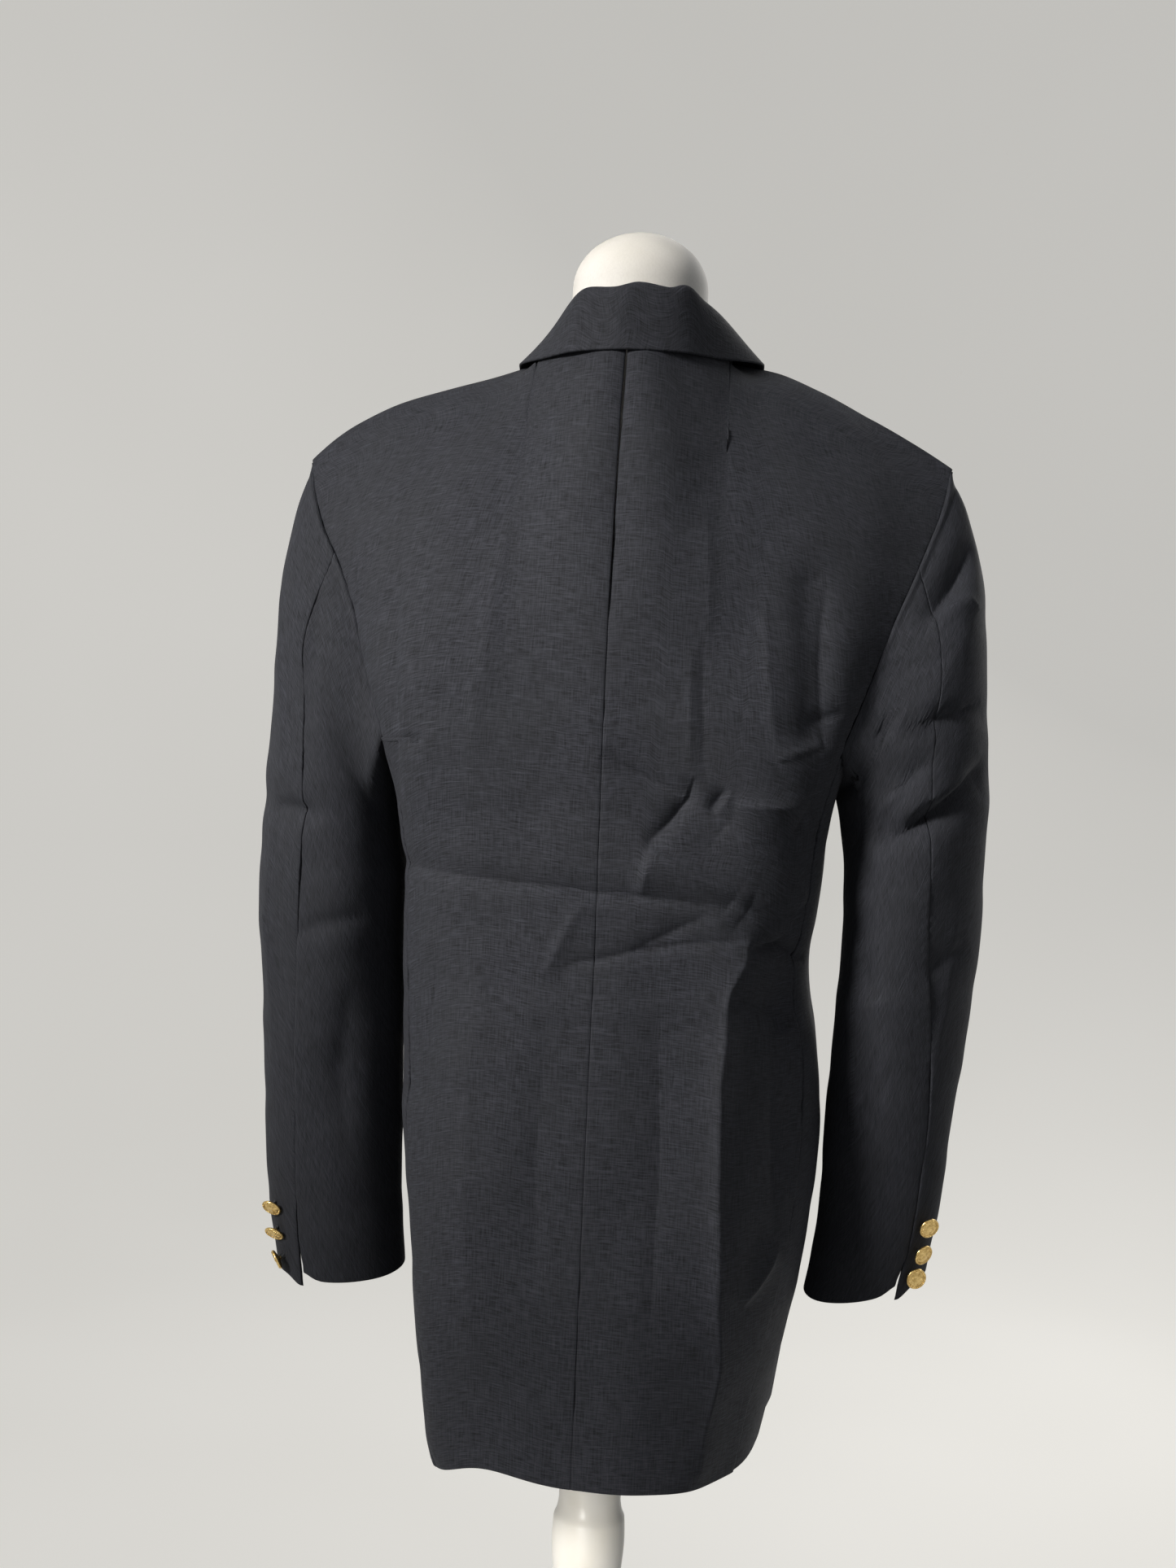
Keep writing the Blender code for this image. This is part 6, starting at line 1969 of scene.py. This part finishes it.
def build_stage():
    """The floor, the wall round it, the lights and the camera."""
    stage = bpy.context.scene.blazer_studio
    profile = [(radius, FLOOR_Z) for radius in (0.02, 0.4, 1.2, FLOOR_RADIUS)]
    for degrees in range(6, 91, 6):
        turn = math.radians(degrees)
        height = WALL_BEND * (1 - math.cos(turn)) + FLOOR_Z
        profile.append((FLOOR_RADIUS + WALL_BEND * math.sin(turn), height))
    profile += [(FLOOR_RADIUS + WALL_BEND, 2.4), (FLOOR_RADIUS + WALL_BEND, WALL_HIGH)]
    rings = turned_rings(profile, FLOOR_TURNS)
    vertices = [point for ring in rings for point in ring]
    faces = ring_faces(len(rings), FLOOR_TURNS)
    faces.append(list(range(FLOOR_TURNS)))
    floor = mesh_object("floor_and_wall", vertices, faces)
    floor.data.materials.append(material("studio"))
    floor.visible_diffuse = False
    power = stage.light_power
    window = soft_light(
        "window", (1.7, 1.75, 2.25), (0.03, 0.1, 1.14), 0.8, 3.9 * power, (1.0, 0.98, 0.95), 28
    )
    leave_out(window, floor)
    low = soft_light(
        "low", (0.5, 1.7, 0.45), (0, 0, 0.48), 0.2, 0.16 * power, (1.0, 0.98, 0.96), 12
    )
    leave_out(low, floor)
    soft_light("far_side", (-2.4, 1.6, 1.9), (0, 0, 1.0), 1.8, 3 * power, (0.96, 0.98, 1.0))
    soft_light("front_side", (-1.4, -2.5, 2.5), (0, 0, 1.0), 1.5, 40 * power, (1.0, 0.99, 0.97))
    soft_light("overhead", (0.2, 0.1, 3.9), (0, 0, 1.0), 2.4, 10 * power, (1.0, 1.0, 1.0))
    world = bpy.data.worlds.new("studio")
    bpy.context.scene.world = world
    world.use_nodes = True
    background = world.node_tree.nodes["Background"]
    background.inputs["Color"].default_value = (0.93, 0.96, 1.0, 1)
    background.inputs["Strength"].default_value = stage.sky_strength
    bpy.context.scene.view_settings.view_transform = "Standard"
    build_camera()


class ClothSettings(bpy.types.PropertyGroup):
    """The colours and the weave of the linen."""

    # The weave's low threads: a painted shade colour
    shaded_thread_colour: bpy.props.StringProperty(
        name="Dark thread", description="sRGB hex colour of the threads in shade", default="#121315",
    )
    # The weave's raised threads: a painted light colour
    lit_thread_colour: bpy.props.StringProperty(
        name="Light thread", description="sRGB hex colour of the raised threads", default="#37383f",
    )
    worn_colour: bpy.props.StringProperty(
        name="Faded cloth", description="sRGB hex colour of the slightly faded places",
        default="#292a2d",
    )
    slub_colour: bpy.props.StringProperty(
        name="Slub", description="sRGB hex colour of the thick slubs", default="#484a52",
    )
    thread_spacing: bpy.props.FloatProperty(
        name="Thread spacing", description="How far apart the drawn threads lie",
        default=0.00092, min=0.0003, unit="LENGTH",
    )
    slub_length: bpy.props.FloatProperty(
        name="Slub length", description="How long a thick stretch of thread is",
        default=0.0105, min=0.002, unit="LENGTH",
    )


class ButtonSettings(bpy.types.PropertyGroup):
    """The finish of the buttons."""

    colour: bpy.props.StringProperty(
        name="Gold plate", description="sRGB hex colour of the plated brass", default="#e2c484",
    )


class StudioSettings(bpy.types.PropertyGroup):
    """The wall and the light round the blazer."""

    wall_colour: bpy.props.StringProperty(
        name="Wall", description="sRGB hex colour of the floor and the wall", default="#dbd9d4",
    )
    wall_glow: bpy.props.FloatProperty(
        name="Wall glow", description="How bright the wall is by itself", default=0.62, min=0.0,
    )
    light_power: bpy.props.FloatProperty(
        name="Light power", description="Multiplies every lamp's power", default=1.0, min=0.0,
    )
    sky_strength: bpy.props.FloatProperty(
        name="Sky strength", description="How bright the light from all round is",
        default=0.13, min=0.0,
    )


class BLAZER_OT_stage(bpy.types.Operator):
    """Build the floor, the wall, the lights and the camera"""

    bl_idname = "blazer.stage"
    bl_label = "Studio"

    def execute(self, context):
        build_stage()
        return {"FINISHED"}


class BLAZER_OT_body(bpy.types.Operator):
    """Build the backs, the side bodies and the fronts"""

    bl_idname = "blazer.body"
    bl_label = "Body panels"

    def execute(self, context):
        build_body()
        return {"FINISHED"}


class BLAZER_OT_lapels(bpy.types.Operator):
    """Build the two lapels on the fronts"""

    bl_idname = "blazer.lapels"
    bl_label = "Lapels"

    def execute(self, context):
        build_lapels()
        return {"FINISHED"}


class BLAZER_OT_collar(bpy.types.Operator):
    """Build the turned-over collar"""

    bl_idname = "blazer.collar"
    bl_label = "Collar"

    def execute(self, context):
        build_collar()
        return {"FINISHED"}


class BLAZER_OT_sleeves(bpy.types.Operator):
    """Build the two-piece sleeves with their slit cuffs"""

    bl_idname = "blazer.sleeves"
    bl_label = "Sleeves"

    def execute(self, context):
        build_sleeves()
        return {"FINISHED"}


class BLAZER_OT_buttons(bpy.types.Operator):
    """Build the buttons, their thread and the buttonholes"""

    bl_idname = "blazer.buttons"
    bl_label = "Buttons"

    def execute(self, context):
        build_buttons()
        return {"FINISHED"}


class BLAZER_OT_stand(bpy.types.Operator):
    """Build the dress form, its post and its foot"""

    bl_idname = "blazer.stand"
    bl_label = "Form and stand"

    def execute(self, context):
        build_form()
        build_stand()
        return {"FINISHED"}


class BLAZER_PT_panel(bpy.types.Panel):
    """Lists what can be built"""

    bl_label = "Blazer"
    bl_idname = "BLAZER_PT_panel"
    bl_space_type = "VIEW_3D"
    bl_region_type = "UI"
    bl_category = "Blazer"

    def draw(self, context):
        for operator in OPERATORS:
            self.layout.operator(operator.bl_idname)
        for place in SETTINGS:
            group = getattr(context.scene, place)
            for name in group.__annotations__:
                self.layout.prop(group, name)


OPERATORS = (
    BLAZER_OT_stage, BLAZER_OT_body, BLAZER_OT_lapels, BLAZER_OT_collar, BLAZER_OT_sleeves,
    BLAZER_OT_buttons, BLAZER_OT_stand,
)
SETTINGS = {
    "blazer_cloth": ClothSettings, "blazer_buttons": ButtonSettings, "blazer_studio": StudioSettings,
}


def register():
    """Adds the settings, the operators and the panel."""
    for kind in (*SETTINGS.values(), *OPERATORS, BLAZER_PT_panel):
        bpy.utils.register_class(kind)
    for name, kind in SETTINGS.items():
        setattr(bpy.types.Scene, name, bpy.props.PointerProperty(type=kind))


def unregister():
    """Takes them out again."""
    for name in SETTINGS:
        delattr(bpy.types.Scene, name)
    for kind in reversed((*SETTINGS.values(), *OPERATORS, BLAZER_PT_panel)):
        bpy.utils.unregister_class(kind)


def main():
    """Build everything in order."""
    register()
    bpy.ops.blazer.stage()
    bpy.ops.blazer.body()
    bpy.ops.blazer.lapels()
    bpy.ops.blazer.collar()
    bpy.ops.blazer.sleeves()
    bpy.ops.blazer.buttons()
    bpy.ops.blazer.stand()


if __name__ == "__main__":
    main()
